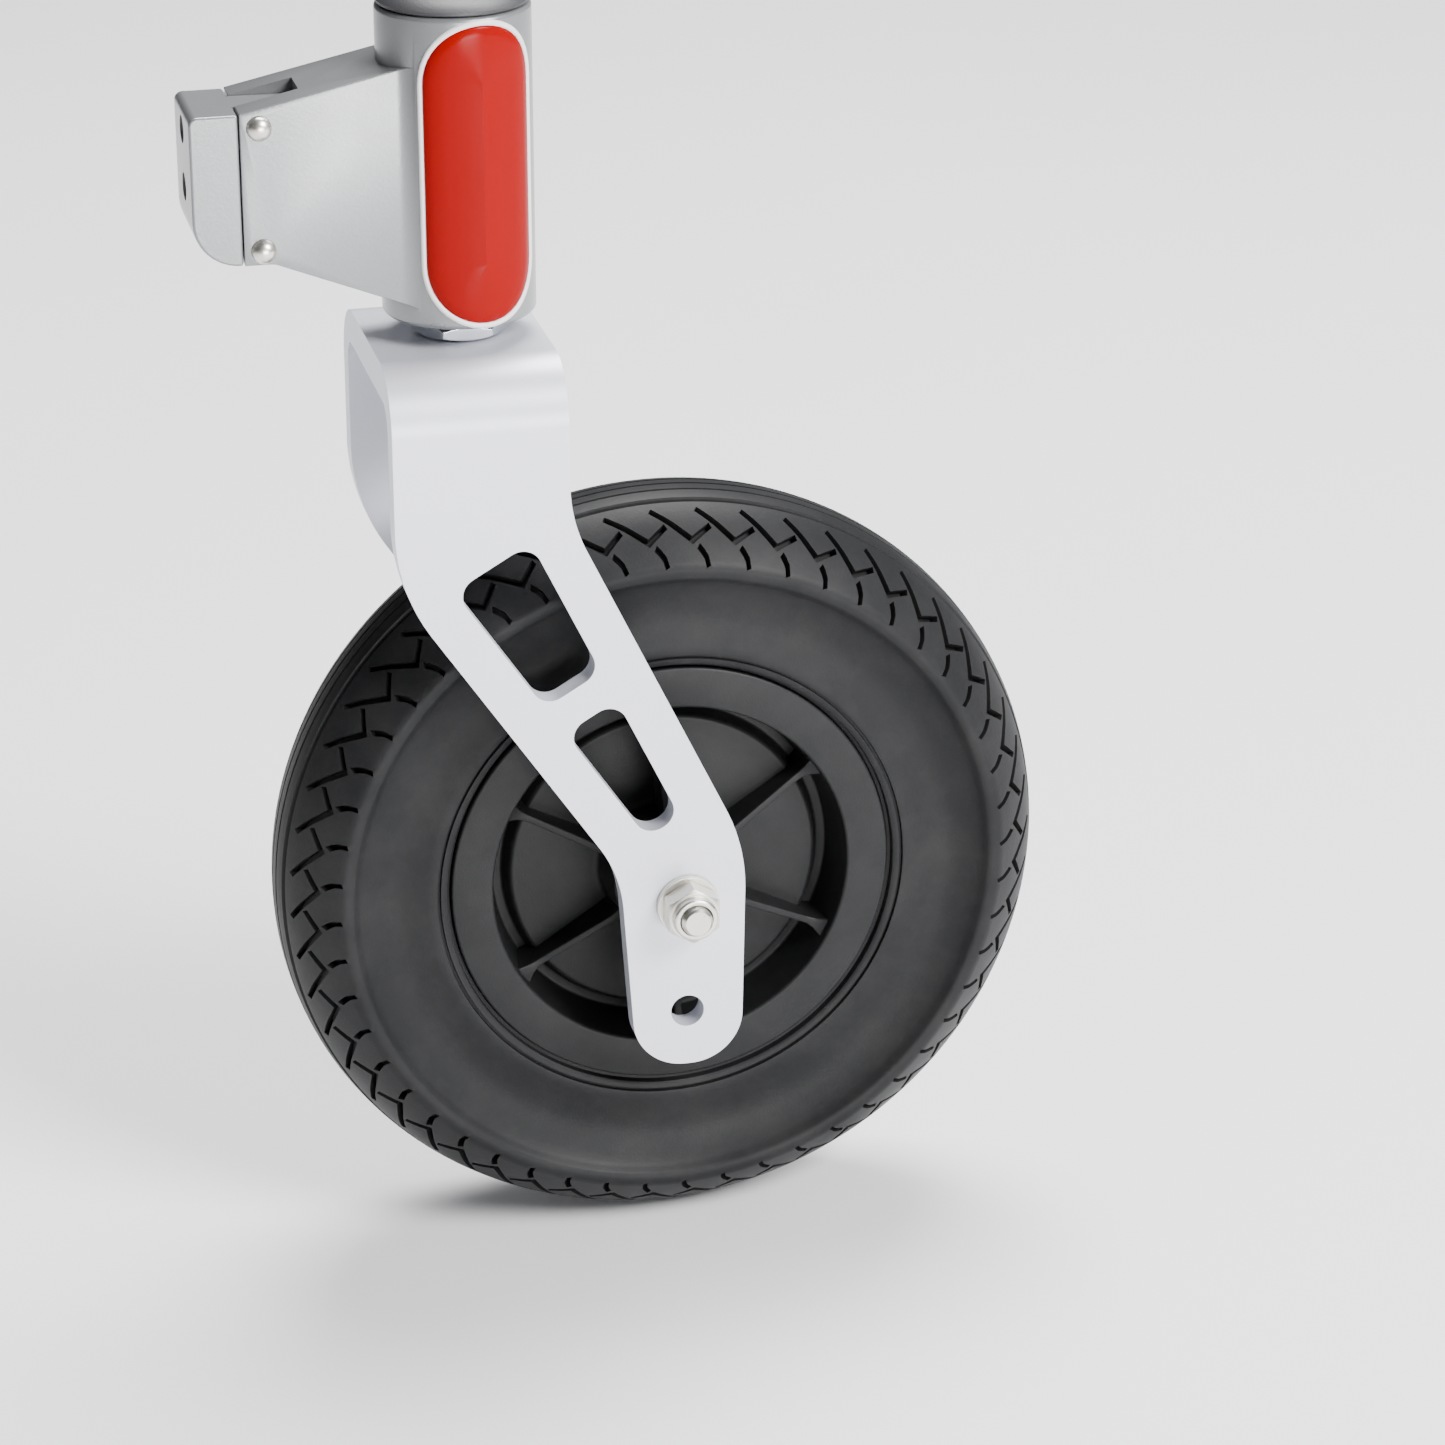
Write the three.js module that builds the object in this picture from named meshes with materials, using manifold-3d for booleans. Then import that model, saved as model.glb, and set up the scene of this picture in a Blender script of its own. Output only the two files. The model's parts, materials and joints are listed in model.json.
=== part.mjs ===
// Swivel caster wheel: an 8 inch solid-tyred wheel in a slotted alloy fork that turns under a bearing head.
// Millimetres, +Z up. The parts are drawn about the wheel's centre: X is the rolling direction, Y the axle,
// and the stem stands behind the axle at -X. The last group moves the origin to the face that bolts on.
import * as THREE from 'three';
import { mergeVertices } from 'three/addons/utils/BufferGeometryUtils.js';
import Module from 'manifold-3d';

const wasm = await Module();
wasm.setup();

// Clearances
const seatGap = 0.3; // between two pieces that touch
const cutMargin = 1; // how far a cutting solid reaches past what it cuts, and how far joined solids overlap

// Wheel
const tyreRadius = 100;
const tyreHalfWidth = 23.5;
const crownDrop = 14; // how far the tread falls from its middle to its shoulder
const crownPower = 2.2;
const shoulderDepth = 3; // height of the tread's side below its shoulder
const sidewallStep = 1.5; // the sidewall lies this far inside the tread's side
const sidewallHollow = 1.6; // how far the sidewall dips between its two edges
const beadHalfWidth = 18.6;
const rimRadius = 57.2;
const rimHalfWidth = 18.3;
const rimChannelRadius = 50;
const rimChannelHalfWidth = 12;
const rimLipWidth = 4.5; // the rim's flange beside the channel, before its slope
const dishRadius = 46;
const dishDepth = 14.5; // from the rim's face down to the web's outer ring
const webRaisedRadius = 36;
const webRaisedDepth = 10; // from the rim's face down to the raised middle of the web
const dishDraft = 1.8; // how far the dish's wall leans in towards its floor
const hubRadius = 15.5;
const hubFlare = 2; // how much wider the hub is where it meets the web
const hubHalfWidth = 20.5;
const spokeCount = 6;
const spokeThickness = 2.8;
const spokeStartAngle = 33.4; // degrees from +X towards +Z
const spokeHubHalfWidth = 19.5; // from the wheel's middle plane out to the spoke's edge, at the hub
const spokeRimHalfWidth = 13.2; // the same, at the rim
const spokeOverlap = 1.5; // how far a spoke runs into the hub and the rim

// Ball bearing, the same in the wheel and in the head
const bearing = {
  outerRadius: 11,
  width: 7,
  pitchRadius: 7.7,
  ballRadius: 1.8,
  balls: 7,
  cageThickness: 1.1,
};
const boreShoulder = 1.6; // step that each outer ring rests against

// Axle and its hardware
const axleRadius = 4;
const axleWasherRadius = 8;
const axleWasherThickness = 1.6;
const axleNutFlats = 13;
const axleNutHeight = 6.2;
const axleNutCollarRadius = 5.6;
const axleNutCollarHeight = 2.3;
const axleTipLength = 1.8; // thread that shows past the nut
const axleHeadHeight = 5.3;
const axleSpacerRadius = 6.2;

// Fork
const forkHalfWidth = 35.3; // to the outer face of each leg
const legThickness = 6.3;
const plateThickness = 9;
const forkTop = 144.3;
const bendRadius = 15;
const innerBendRadius = 6;
const kneeRadius = 50;
const kneeFrontRadius = 40;
const ankleRadius = 35;
const forkBack = -71.7;
const forkFront = -28.6;
const kneeBackHeight = 90.7;
const kneeFrontHeight = 105.3;
const ankleBack = [-17.1, 9.8];
const ankleFront = [15.3, 14.1];
const toeBack = -13.2;
const toeFront = 14.2;
const toeRadius = 13.5;
const spareAxleDrop = 30.2; // second axle hole below the first
const toeMargin = 15; // from the second axle hole to the end of the leg
const railWidth = 11; // metal left beside each slot
const lowerSlotStart = 21.9; // from the axle, square to the slots' ends
const lowerSlotLength = 36.5;
const slotBridge = 8.8;
const upperSlotLength = 39.2;
const slotCornerRadius = 5;
const slotEndAngle = 30; // degrees above +X

// Stem and its bearings
const stemX = -48.3;
const stemRadius = 4;
const stemHeadFlats = 13;
const stemHeadHeight = 5.3;
const jamNutFlats = 21;
const jamNutHeight = 3.6;
const dustRingRadius = 9;
const dustRingThickness = 1.2;
const dustRingBossRadius = 5.6;
const stemNutFlats = 13;
const stemNutHeight = 8;
const stemWasherThickness = 1.6;
const stemWasherRadius = 8;
const stemTipLength = 1.5;
const stemSleeveRadius = 6.2;

// Head housing
const barrelRadius = 18.8;
const barrelBottom = 150;
const barrelHeight = 76.4;
const barrelEdge = 1.2; // chamfer at both ends
const bearingRecess = 1.5; // from the barrel's mouth to the lower bearing
const capRecess = 12.5; // from the barrel's top down to the upper bearing
const capRise = 5;
const capBrim = 1; // straight height of the cap's edge, below its dome
const capLip = 1.2; // the cap's brim over the barrel's top edge
const capWall = 2;
const capPlugDepth = 6;
const armWidth = 26;
const armFilletRadius = 7;
const armEnd = -102;
const armUndersideStart = [-60, 154.4];
const armUndersideEnd = [-95, 168.2];
const armUndersideRadius = 5;
const armTopAtEnd = 205;
const armTopAtBarrel = 217;

// Red inlay on the barrel
const inlayAngle = 10; // degrees from -Y towards +X
const inlayHalfAngle = 44;
const inlayBottomMargin = 1.6;
const inlayTopMargin = 1.9;
const inlayDepth = 1.4; // thickness of the inlay
const inlayProud = 0.5; // how far it stands above the barrel

// Lug that joins the arm to the vehicle's frame
const lugFaceX = -114;
const lugCornerRadius = 11;
const lugTopRadius = 2;
const lugTongueThickness = 10;
const lugTongueLength = 15;
const lugTapRadius = 3.4;
const lugTapDepth = 9;
const lugTapSpacing = 14;
const pinRadius = 2.5;
const pinHeadRadius = 3;
const pinHeadHeight = 2.2;
const pinFromEnd = 4.6; // from the arm's end to the pins
const pinFromEdge = 3.4; // from the arm's lower and upper edges to the pins

// Roundness
const tyreSideSteps = 5; // points along one side of the tyre's crown
const wheelSegments = 60;
const barrelSegments = 40;
const ringSegments = 24;
const pinSegments = 16;
const arcSegments = 6;
const ballSegments = 8;
const domeSteps = 3;

const radians = THREE.MathUtils.degToRad;

// A closed mesh with shared vertices and no empty triangles, as a solid that can be cut and joined.
function toSolid(geometry) {
  const bare = geometry.index ? geometry.toNonIndexed() : geometry.clone();
  bare.deleteAttribute('normal');
  bare.deleteAttribute('uv');
  const welded = mergeVertices(bare, 1e-4);
  const corners = welded.index.array;
  const kept = [];
  for (let i = 0; i < corners.length; i += 3) {
    const [a, b, c] = corners.slice(i, i + 3);
    if (a !== b && b !== c && c !== a) kept.push(a, b, c);
  }
  const vertProperties = new Float32Array(welded.attributes.position.array);
  return new wasm.Manifold(new wasm.Mesh({ numProp: 3, vertProperties, triVerts: new Uint32Array(kept) }));
}

function toGeometry(solid) {
  const mesh = solid.getMesh();
  const geometry = new THREE.BufferGeometry();
  geometry.setAttribute('position', new THREE.BufferAttribute(new Float32Array(mesh.vertProperties), 3));
  geometry.setIndex(new THREE.BufferAttribute(new Uint32Array(mesh.triVerts), 1));
  return geometry;
}

// Turns a closed profile of [radius, height] points about the Y axis.
function revolve(profile, segments = ringSegments) {
  const points = profile.map(([radius, height]) => new THREE.Vector2(radius, height));
  if (THREE.ShapeUtils.area(points) < 0) points.reverse();
  points.push(points[0].clone());
  return toSolid(new THREE.LatheGeometry(points, segments));
}

function ring(innerRadius, outerRadius, from, to, segments = ringSegments) {
  const profile = [[innerRadius, from], [outerRadius, from], [outerRadius, to], [innerRadius, to]];
  return revolve(profile, segments);
}

// Stands a solid that was turned about Y on the stem's axis, with its height along Z.
function onStem(solid) {
  return place(solid, new THREE.Matrix4().makeRotationX(Math.PI / 2), stemX);
}

function place(solid, turn, x = 0, y = 0, z = 0) {
  const matrix = new THREE.Matrix4().makeTranslation(x, y, z).multiply(turn);
  return toSolid(toGeometry(solid).applyMatrix4(matrix));
}

// A closed outline with an arc at each [x, y, radius] corner.
function roundedShape(corners) {
  const shape = new THREE.Shape();
  corners.forEach(([x, y, radius], i) => {
    const [beforeX, beforeY] = corners.at(i - 1);
    const [afterX, afterY] = corners[(i + 1) % corners.length];
    const toBefore = new THREE.Vector2(beforeX - x, beforeY - y).normalize();
    const toAfter = new THREE.Vector2(afterX - x, afterY - y).normalize();
    const halfAngle = Math.acos(toBefore.dot(toAfter)) / 2;
    const reach = radius / Math.tan(halfAngle);
    const inward = toBefore.clone().add(toAfter).normalize().multiplyScalar(radius / Math.sin(halfAngle));
    const startAngle = Math.atan2(toBefore.y * reach - inward.y, toBefore.x * reach - inward.x);
    const endAngle = Math.atan2(toAfter.y * reach - inward.y, toAfter.x * reach - inward.x);
    const arcStart = [x + toBefore.x * reach, y + toBefore.y * reach];
    if (i === 0) {
      shape.moveTo(...arcStart);
    } else {
      shape.lineTo(...arcStart);
    }
    if (radius > 0) {
      shape.absarc(x + inward.x, y + inward.y, radius, startAngle, endAngle, toBefore.cross(toAfter) > 0);
    }
  });
  shape.closePath();
  return shape;
}

function extrude(shape, depth) {
  return new THREE.ExtrudeGeometry(shape, { depth, bevelEnabled: false, curveSegments: arcSegments });
}

// A shape drawn in X and Z, as thick as the span from one Y to another.
function sidePrism(shape, fromY, toY) {
  const geometry = extrude(shape, toY - fromY);
  geometry.rotateX(Math.PI / 2);
  geometry.translate(0, toY, 0);
  return toSolid(geometry);
}

// A shape drawn in X and Y, as thick as the span from one Z to another.
function planPrism(shape, fromZ, toZ) {
  const geometry = extrude(shape, toZ - fromZ);
  geometry.translate(0, 0, fromZ);
  return toSolid(geometry);
}

// A rod along Y.
function rod(radius, fromY, toY, x = 0, z = 0, segments = ringSegments) {
  const geometry = new THREE.CylinderGeometry(radius, radius, toY - fromY, segments);
  geometry.translate(x, (fromY + toY) / 2, z);
  return toSolid(geometry);
}

// A hexagon along Y, given across its flats.
function hexagon(flats, fromY, toY) {
  return rod(flats / Math.sqrt(3), fromY, toY, 0, 0, 6);
}

function unite(solids) {
  return solids.reduce((joined, solid) => joined.add(solid));
}

const finishes = {
  silver: { color: 0xc9cad2, roughness: 0.38, metalness: 0.6 },
  castSilver: { color: 0xb9bbc0, roughness: 0.42, metalness: 0.5 },
  zinc: { color: 0xc4c0b2, roughness: 0.3, metalness: 0.9 },
  chrome: { color: 0xe0e2e6, roughness: 0.12, metalness: 1 },
  bearingSteel: { color: 0x9a9ca0, roughness: 0.25, metalness: 1 },
  tyreRubber: { color: 0x35363a, roughness: 0.85, metalness: 0 },
  rimPlastic: { color: 0x1b1c1f, roughness: 0.5, metalness: 0 },
  redPlastic: { color: 0xc81e1e, roughness: 0.25, metalness: 0 },
  blackPlastic: { color: 0x202124, roughness: 0.55, metalness: 0 },
};

const caster = new THREE.Group();

function add(name, solid, finish) {
  const mesh = new THREE.Mesh(toGeometry(solid), new THREE.MeshStandardMaterial(finishes[finish]));
  mesh.name = name;
  caster.add(mesh);
}

// Tyre: a rounded crown, a tread side that stands out from a hollow sidewall, and a bead in the rim.
function makeTyre() {
  const crownHeight = (y) => tyreRadius - crownDrop * (Math.abs(y) / tyreHalfWidth) ** crownPower;
  const shoulderRadius = crownHeight(tyreHalfWidth);
  const beadRadius = rimRadius + seatGap;
  const side = [];
  for (let i = 0; i <= tyreSideSteps; i += 1) {
    const y = (tyreHalfWidth * i) / tyreSideSteps;
    side.push([crownHeight(y), y]);
  }
  const wallTop = shoulderRadius - shoulderDepth;
  const wallY = tyreHalfWidth - sidewallStep;
  side.push([wallTop, tyreHalfWidth], [wallTop, wallY]);
  for (let i = 1; i < tyreSideSteps; i += 1) {
    const share = i / tyreSideSteps;
    const y = THREE.MathUtils.lerp(wallY, beadHalfWidth, share) - sidewallHollow * Math.sin(Math.PI * share);
    side.push([THREE.MathUtils.lerp(wallTop, beadRadius, share), y]);
  }
  const channelRadius = rimChannelRadius + seatGap;
  const channelEdge = rimChannelHalfWidth - seatGap;
  const lipEdge = rimHalfWidth - rimLipWidth;
  side.push([beadRadius, beadHalfWidth], [beadRadius, lipEdge], [channelRadius, channelEdge]);
  const mirrored = side.slice(1).map(([radius, y]) => [radius, -y]).reverse();
  return revolve([...side, ...mirrored], wheelSegments);
}

function makeRim() {
  const lipEdge = rimHalfWidth - rimLipWidth;
  const bearingSeat = bearing.outerRadius + seatGap;
  const seatEnd = hubHalfWidth - bearing.width - seatGap;
  const raisedY = rimHalfWidth - webRaisedDepth;
  const ringY = rimHalfWidth - dishDepth;
  const half = [
    [rimChannelRadius, rimChannelHalfWidth],
    [rimRadius, lipEdge],
    [rimRadius, rimHalfWidth],
    [dishRadius, rimHalfWidth],
    [dishRadius - dishDraft, ringY],
    [webRaisedRadius + (raisedY - ringY), ringY],
    [webRaisedRadius, raisedY],
    [hubRadius + hubFlare, raisedY],
    [hubRadius, hubHalfWidth],
    [bearingSeat, hubHalfWidth],
    [bearingSeat, seatEnd],
    [bearingSeat - boreShoulder, seatEnd],
  ];
  const mirrored = half.map(([radius, y]) => [radius, -y]).reverse();
  const body = revolve([...half, ...mirrored], wheelSegments);
  const spokes = [];
  for (let i = 0; i < spokeCount; i += 1) {
    const outline = roundedShape([
      [hubRadius - spokeOverlap, -spokeHubHalfWidth, 0],
      [dishRadius + spokeOverlap, -spokeRimHalfWidth, 0],
      [dishRadius + spokeOverlap, spokeRimHalfWidth, 0],
      [hubRadius - spokeOverlap, spokeHubHalfWidth, 0],
    ]);
    const plate = extrude(outline, spokeThickness);
    plate.translate(0, 0, -spokeThickness / 2);
    plate.rotateY(-radians(spokeStartAngle + (360 / spokeCount) * i));
    spokes.push(toSolid(plate));
  }
  return unite([body, ...spokes]);
}

// One ball bearing about Y: an inner ring, an outer ring, and its balls in their cage.
function makeBearing(name, boreRadius, centreY, stand) {
  const { outerRadius, width, pitchRadius, ballRadius, balls, cageThickness } = bearing;
  const from = centreY - width / 2;
  const to = centreY + width / 2;
  const innerEdge = pitchRadius - ballRadius - seatGap;
  const outerEdge = pitchRadius + ballRadius + seatGap;
  const cageInner = pitchRadius - cageThickness / 2;
  const cageOuter = pitchRadius + cageThickness / 2;
  const set = [ring(cageInner, cageOuter, centreY - ballRadius, centreY + ballRadius, 2 * balls)];
  for (let i = 0; i < balls; i += 1) {
    const ball = new THREE.SphereGeometry(ballRadius, ballSegments, ballSegments / 2);
    ball.translate(pitchRadius, centreY, 0);
    ball.rotateY((2 * Math.PI * i) / balls);
    set.push(toSolid(ball));
  }
  add(`${name}_inner_ring`, stand(ring(boreRadius, innerEdge, from, to)), 'bearingSteel');
  add(`${name}_outer_ring`, stand(ring(outerEdge, outerRadius, from, to)), 'bearingSteel');
  add(`${name}_balls`, stand(unite(set)), 'bearingSteel');
}

// Wheel, bearings and axle. Side -1 is the near side with the nut, side 1 the far side with the bolt's head.
const axleBore = axleRadius + seatGap;
const stemBore = stemRadius + seatGap;
const legInner = forkHalfWidth - legThickness;

function addWheel() {
  add('tyre', makeTyre(), 'tyreRubber');
  add('rim', makeRim(), 'rimPlastic');
  const bearingY = hubHalfWidth - bearing.width / 2;
  makeBearing('left_wheel_bearing', axleBore, -bearingY, (solid) => solid);
  makeBearing('right_wheel_bearing', axleBore, bearingY, (solid) => solid);
  const sleeveHalf = hubHalfWidth - bearing.width - seatGap;
  add('hub_sleeve', ring(axleBore, axleSpacerRadius, -sleeveHalf, sleeveHalf), 'bearingSteel');
  const spacerStart = hubHalfWidth + seatGap;
  const spacerEnd = legInner - seatGap;
  add('left_axle_spacer', ring(axleBore, axleSpacerRadius, -spacerEnd, -spacerStart), 'zinc');
  add('right_axle_spacer', ring(axleBore, axleSpacerRadius, spacerStart, spacerEnd), 'zinc');
}

function addAxle() {
  const washerStart = forkHalfWidth + seatGap;
  const washerEnd = washerStart + axleWasherThickness;
  const seat = washerEnd + seatGap;
  const nutEnd = seat + axleNutHeight;
  const collarEnd = nutEnd + axleNutCollarHeight;
  const tip = collarEnd + axleTipLength;
  add('left_axle_washer', ring(axleBore, axleWasherRadius, -washerEnd, -washerStart), 'zinc');
  add('right_axle_washer', ring(axleBore, axleWasherRadius, washerStart, washerEnd), 'zinc');
  const collar = rod(axleNutCollarRadius, -collarEnd, -nutEnd + cutMargin);
  const nutBody = hexagon(axleNutFlats, -nutEnd, -seat).add(collar);
  add('axle_nut', nutBody.subtract(rod(axleBore, -collarEnd - cutMargin, -seat + cutMargin)), 'zinc');
  const shank = rod(axleRadius, -tip, seat + cutMargin);
  add('axle_bolt', shank.add(hexagon(axleNutFlats, seat, seat + axleHeadHeight)), 'zinc');
}

// Where a line through a point at an angle crosses another; points are [x, z] and directions are [x, z] too.
function crossing([ax, az], [adx, adz], [bx, bz], [bdx, bdz]) {
  const along = ((bx - ax) * bdz - (bz - az) * bdx) / (adx * bdz - adz * bdx);
  return [ax + adx * along, az + adz * along];
}

// A slot between two rails that follow the leg's slanting edges, with ends square to the leg.
function slotShape(start, end) {
  const angle = radians(slotEndAngle);
  const endDirection = [Math.cos(angle), Math.sin(angle)];
  const upLeg = [-Math.sin(angle), Math.cos(angle)];
  const rail = ([lowX, lowZ], [highX, highZ], sideways) => {
    const length = Math.hypot(highX - lowX, highZ - lowZ);
    const direction = [(highX - lowX) / length, (highZ - lowZ) / length];
    const point = [lowX + direction[1] * railWidth * sideways, lowZ - direction[0] * railWidth * sideways];
    return [point, direction];
  };
  const back = rail(ankleBack, [forkBack, kneeBackHeight], 1);
  const front = rail(ankleFront, [forkFront, kneeFrontHeight], -1);
  const bottom = [upLeg.map((part) => part * start), endDirection];
  const top = [upLeg.map((part) => part * end), endDirection];
  const corners = [crossing(...back, ...bottom), crossing(...front, ...bottom)];
  corners.push(crossing(...front, ...top), crossing(...back, ...top));
  return roundedShape(corners.map(([x, z]) => [x, z, slotCornerRadius]));
}

function makeFork() {
  const toeBottom = -spareAxleDrop - toeMargin;
  const sectionBottom = toeBottom - cutMargin;
  const section = roundedShape([
    [-forkHalfWidth, sectionBottom, 0],
    [-legInner, sectionBottom, 0],
    [-legInner, forkTop - plateThickness, innerBendRadius],
    [legInner, forkTop - plateThickness, innerBendRadius],
    [legInner, sectionBottom, 0],
    [forkHalfWidth, sectionBottom, 0],
    [forkHalfWidth, forkTop, bendRadius],
    [-forkHalfWidth, forkTop, bendRadius],
  ]);
  const bent = extrude(section, ankleFront[0] - forkBack + 2 * cutMargin);
  const axes = new THREE.Matrix4().makeBasis(
    new THREE.Vector3(0, 1, 0),
    new THREE.Vector3(0, 0, 1),
    new THREE.Vector3(1, 0, 0),
  );
  bent.applyMatrix4(axes);
  bent.translate(forkBack - cutMargin, 0, 0);
  const outline = roundedShape([
    [forkBack, forkTop + cutMargin, 0],
    [forkBack, kneeBackHeight, kneeRadius],
    [...ankleBack, ankleRadius],
    [toeBack, toeBottom, toeRadius],
    [toeFront, toeBottom, toeRadius],
    [...ankleFront, kneeRadius],
    [forkFront, kneeFrontHeight, kneeFrontRadius],
    [forkFront, forkTop + cutMargin, 0],
  ]);
  const reach = forkHalfWidth + cutMargin;
  const lowerSlotEnd = lowerSlotStart + lowerSlotLength;
  const upperSlotStart = lowerSlotEnd + slotBridge;
  const cuts = [
    sidePrism(slotShape(lowerSlotStart, lowerSlotEnd), -reach, reach),
    sidePrism(slotShape(upperSlotStart, upperSlotStart + upperSlotLength), -reach, reach),
    rod(axleBore, -reach, reach),
    rod(axleBore, -reach, reach, 0, -spareAxleDrop),
    onStem(rod(stemBore, forkTop - plateThickness - cutMargin, forkTop + cutMargin)),
  ];
  return toSolid(bent).intersect(sidePrism(outline, -reach, reach)).subtract(unite(cuts));
}

// Stem: the bolt from under the plate, its collar, dust ring, sleeve, washer and lock nut.
const lowerBearingFrom = barrelBottom + bearingRecess;
const upperBearingFrom = barrelBottom + barrelHeight - capRecess - bearing.width;

function addStem() {
  const headTop = forkTop - plateThickness - seatGap;
  const washerFrom = upperBearingFrom + bearing.width + seatGap;
  const nutFrom = washerFrom + stemWasherThickness + seatGap;
  const nutTo = nutFrom + stemNutHeight;
  const head = hexagon(stemHeadFlats, headTop - stemHeadHeight, headTop);
  const shank = rod(stemRadius, headTop - cutMargin, nutTo + stemTipLength);
  add('stem_bolt', onStem(head.add(shank)), 'zinc');
  const jamNutFrom = forkTop + seatGap;
  const jamNutTo = jamNutFrom + jamNutHeight;
  const jamNut = hexagon(jamNutFlats, jamNutFrom, jamNutTo);
  const jamNutBore = rod(stemBore, jamNutFrom - cutMargin, jamNutTo + cutMargin);
  add('stem_jam_nut', onStem(jamNut.subtract(jamNutBore)), 'chrome');
  const dustTo = barrelBottom - seatGap;
  const dustFrom = dustTo - dustRingThickness;
  const bossTo = lowerBearingFrom - seatGap;
  const dustRing = ring(stemBore, dustRingRadius, dustFrom, dustTo);
  const dustRingBoss = ring(stemBore, dustRingBossRadius, dustTo - dustRingThickness / 2, bossTo);
  add('dust_ring', onStem(dustRing.add(dustRingBoss)), 'bearingSteel');
  const sleeveFrom = lowerBearingFrom + bearing.width + seatGap;
  const sleeve = ring(stemBore, stemSleeveRadius, sleeveFrom, upperBearingFrom - seatGap);
  add('stem_sleeve', onStem(sleeve), 'bearingSteel');
  const washer = ring(stemBore, stemWasherRadius, washerFrom, washerFrom + stemWasherThickness);
  add('stem_washer', onStem(washer), 'zinc');
  const nut = hexagon(stemNutFlats, nutFrom, nutTo);
  const nutBore = rod(stemBore, nutFrom - cutMargin, nutTo + cutMargin);
  add('stem_nut', onStem(nut.subtract(nutBore)), 'zinc');
  makeBearing('lower_head_bearing', stemBore, lowerBearingFrom + bearing.width / 2, onStem);
  makeBearing('upper_head_bearing', stemBore, upperBearingFrom + bearing.width / 2, onStem);
}

const barrelTop = barrelBottom + barrelHeight;

// The inlay's outline on the unrolled barrel is a slot with round ends; here it is bent round the barrel.
// It is swept from one side to the other as cross-sections of four corners each.
function inlaySolid(growth, fromRadius, toRadius) {
  const halfWidth = radians(inlayHalfAngle) * barrelRadius + growth;
  const bottom = barrelBottom + inlayBottomMargin - growth;
  const top = barrelTop - inlayTopMargin + growth;
  const steps = 4 * arcSegments;
  const sections = [];
  for (let i = 0; i <= steps; i += 1) {
    const across = -Math.cos((Math.PI * i) / steps) * halfWidth;
    const rise = halfWidth - Math.sqrt(Math.max(halfWidth ** 2 - across ** 2, 0));
    const angle = radians(inlayAngle) + across / barrelRadius;
    const corner = (radius, z) => [stemX + radius * Math.sin(angle), -radius * Math.cos(angle), z];
    const outer = [corner(toRadius, bottom + rise), corner(toRadius, top - rise)];
    const inner = [corner(fromRadius, top - rise), corner(fromRadius, bottom + rise)];
    sections.push([...outer, ...inner]);
  }
  const positions = [];
  const quad = (a, b, c, d) => [a, b, c, a, c, d].forEach((corner) => positions.push(...corner));
  for (let i = 0; i < steps; i += 1) {
    const here = sections[i];
    const next = sections[i + 1];
    here.forEach((corner, side) => {
      const after = (side + 1) % here.length;
      quad(corner, next[side], next[after], here[after]);
    });
  }
  quad(...sections[0]);
  quad(...[...sections[steps]].reverse());
  const geometry = new THREE.BufferGeometry();
  geometry.setAttribute('position', new THREE.Float32BufferAttribute(positions, 3));
  return toSolid(geometry);
}

const armBottom = armUndersideEnd[1];

function armUnderside(x) {
  const [startX, startZ] = armUndersideStart;
  const [endX, endZ] = armUndersideEnd;
  return THREE.MathUtils.mapLinear(x, startX, endX, startZ, endZ);
}

const pinX = armEnd + pinFromEnd;
const pinHeights = [armBottom + pinFromEdge, armTopAtEnd - pinFromEdge];

function makePinHoles() {
  const reach = armWidth / 2 + cutMargin;
  return unite(pinHeights.map((z) => rod(pinRadius + seatGap, -reach, reach, pinX, z)));
}

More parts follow.
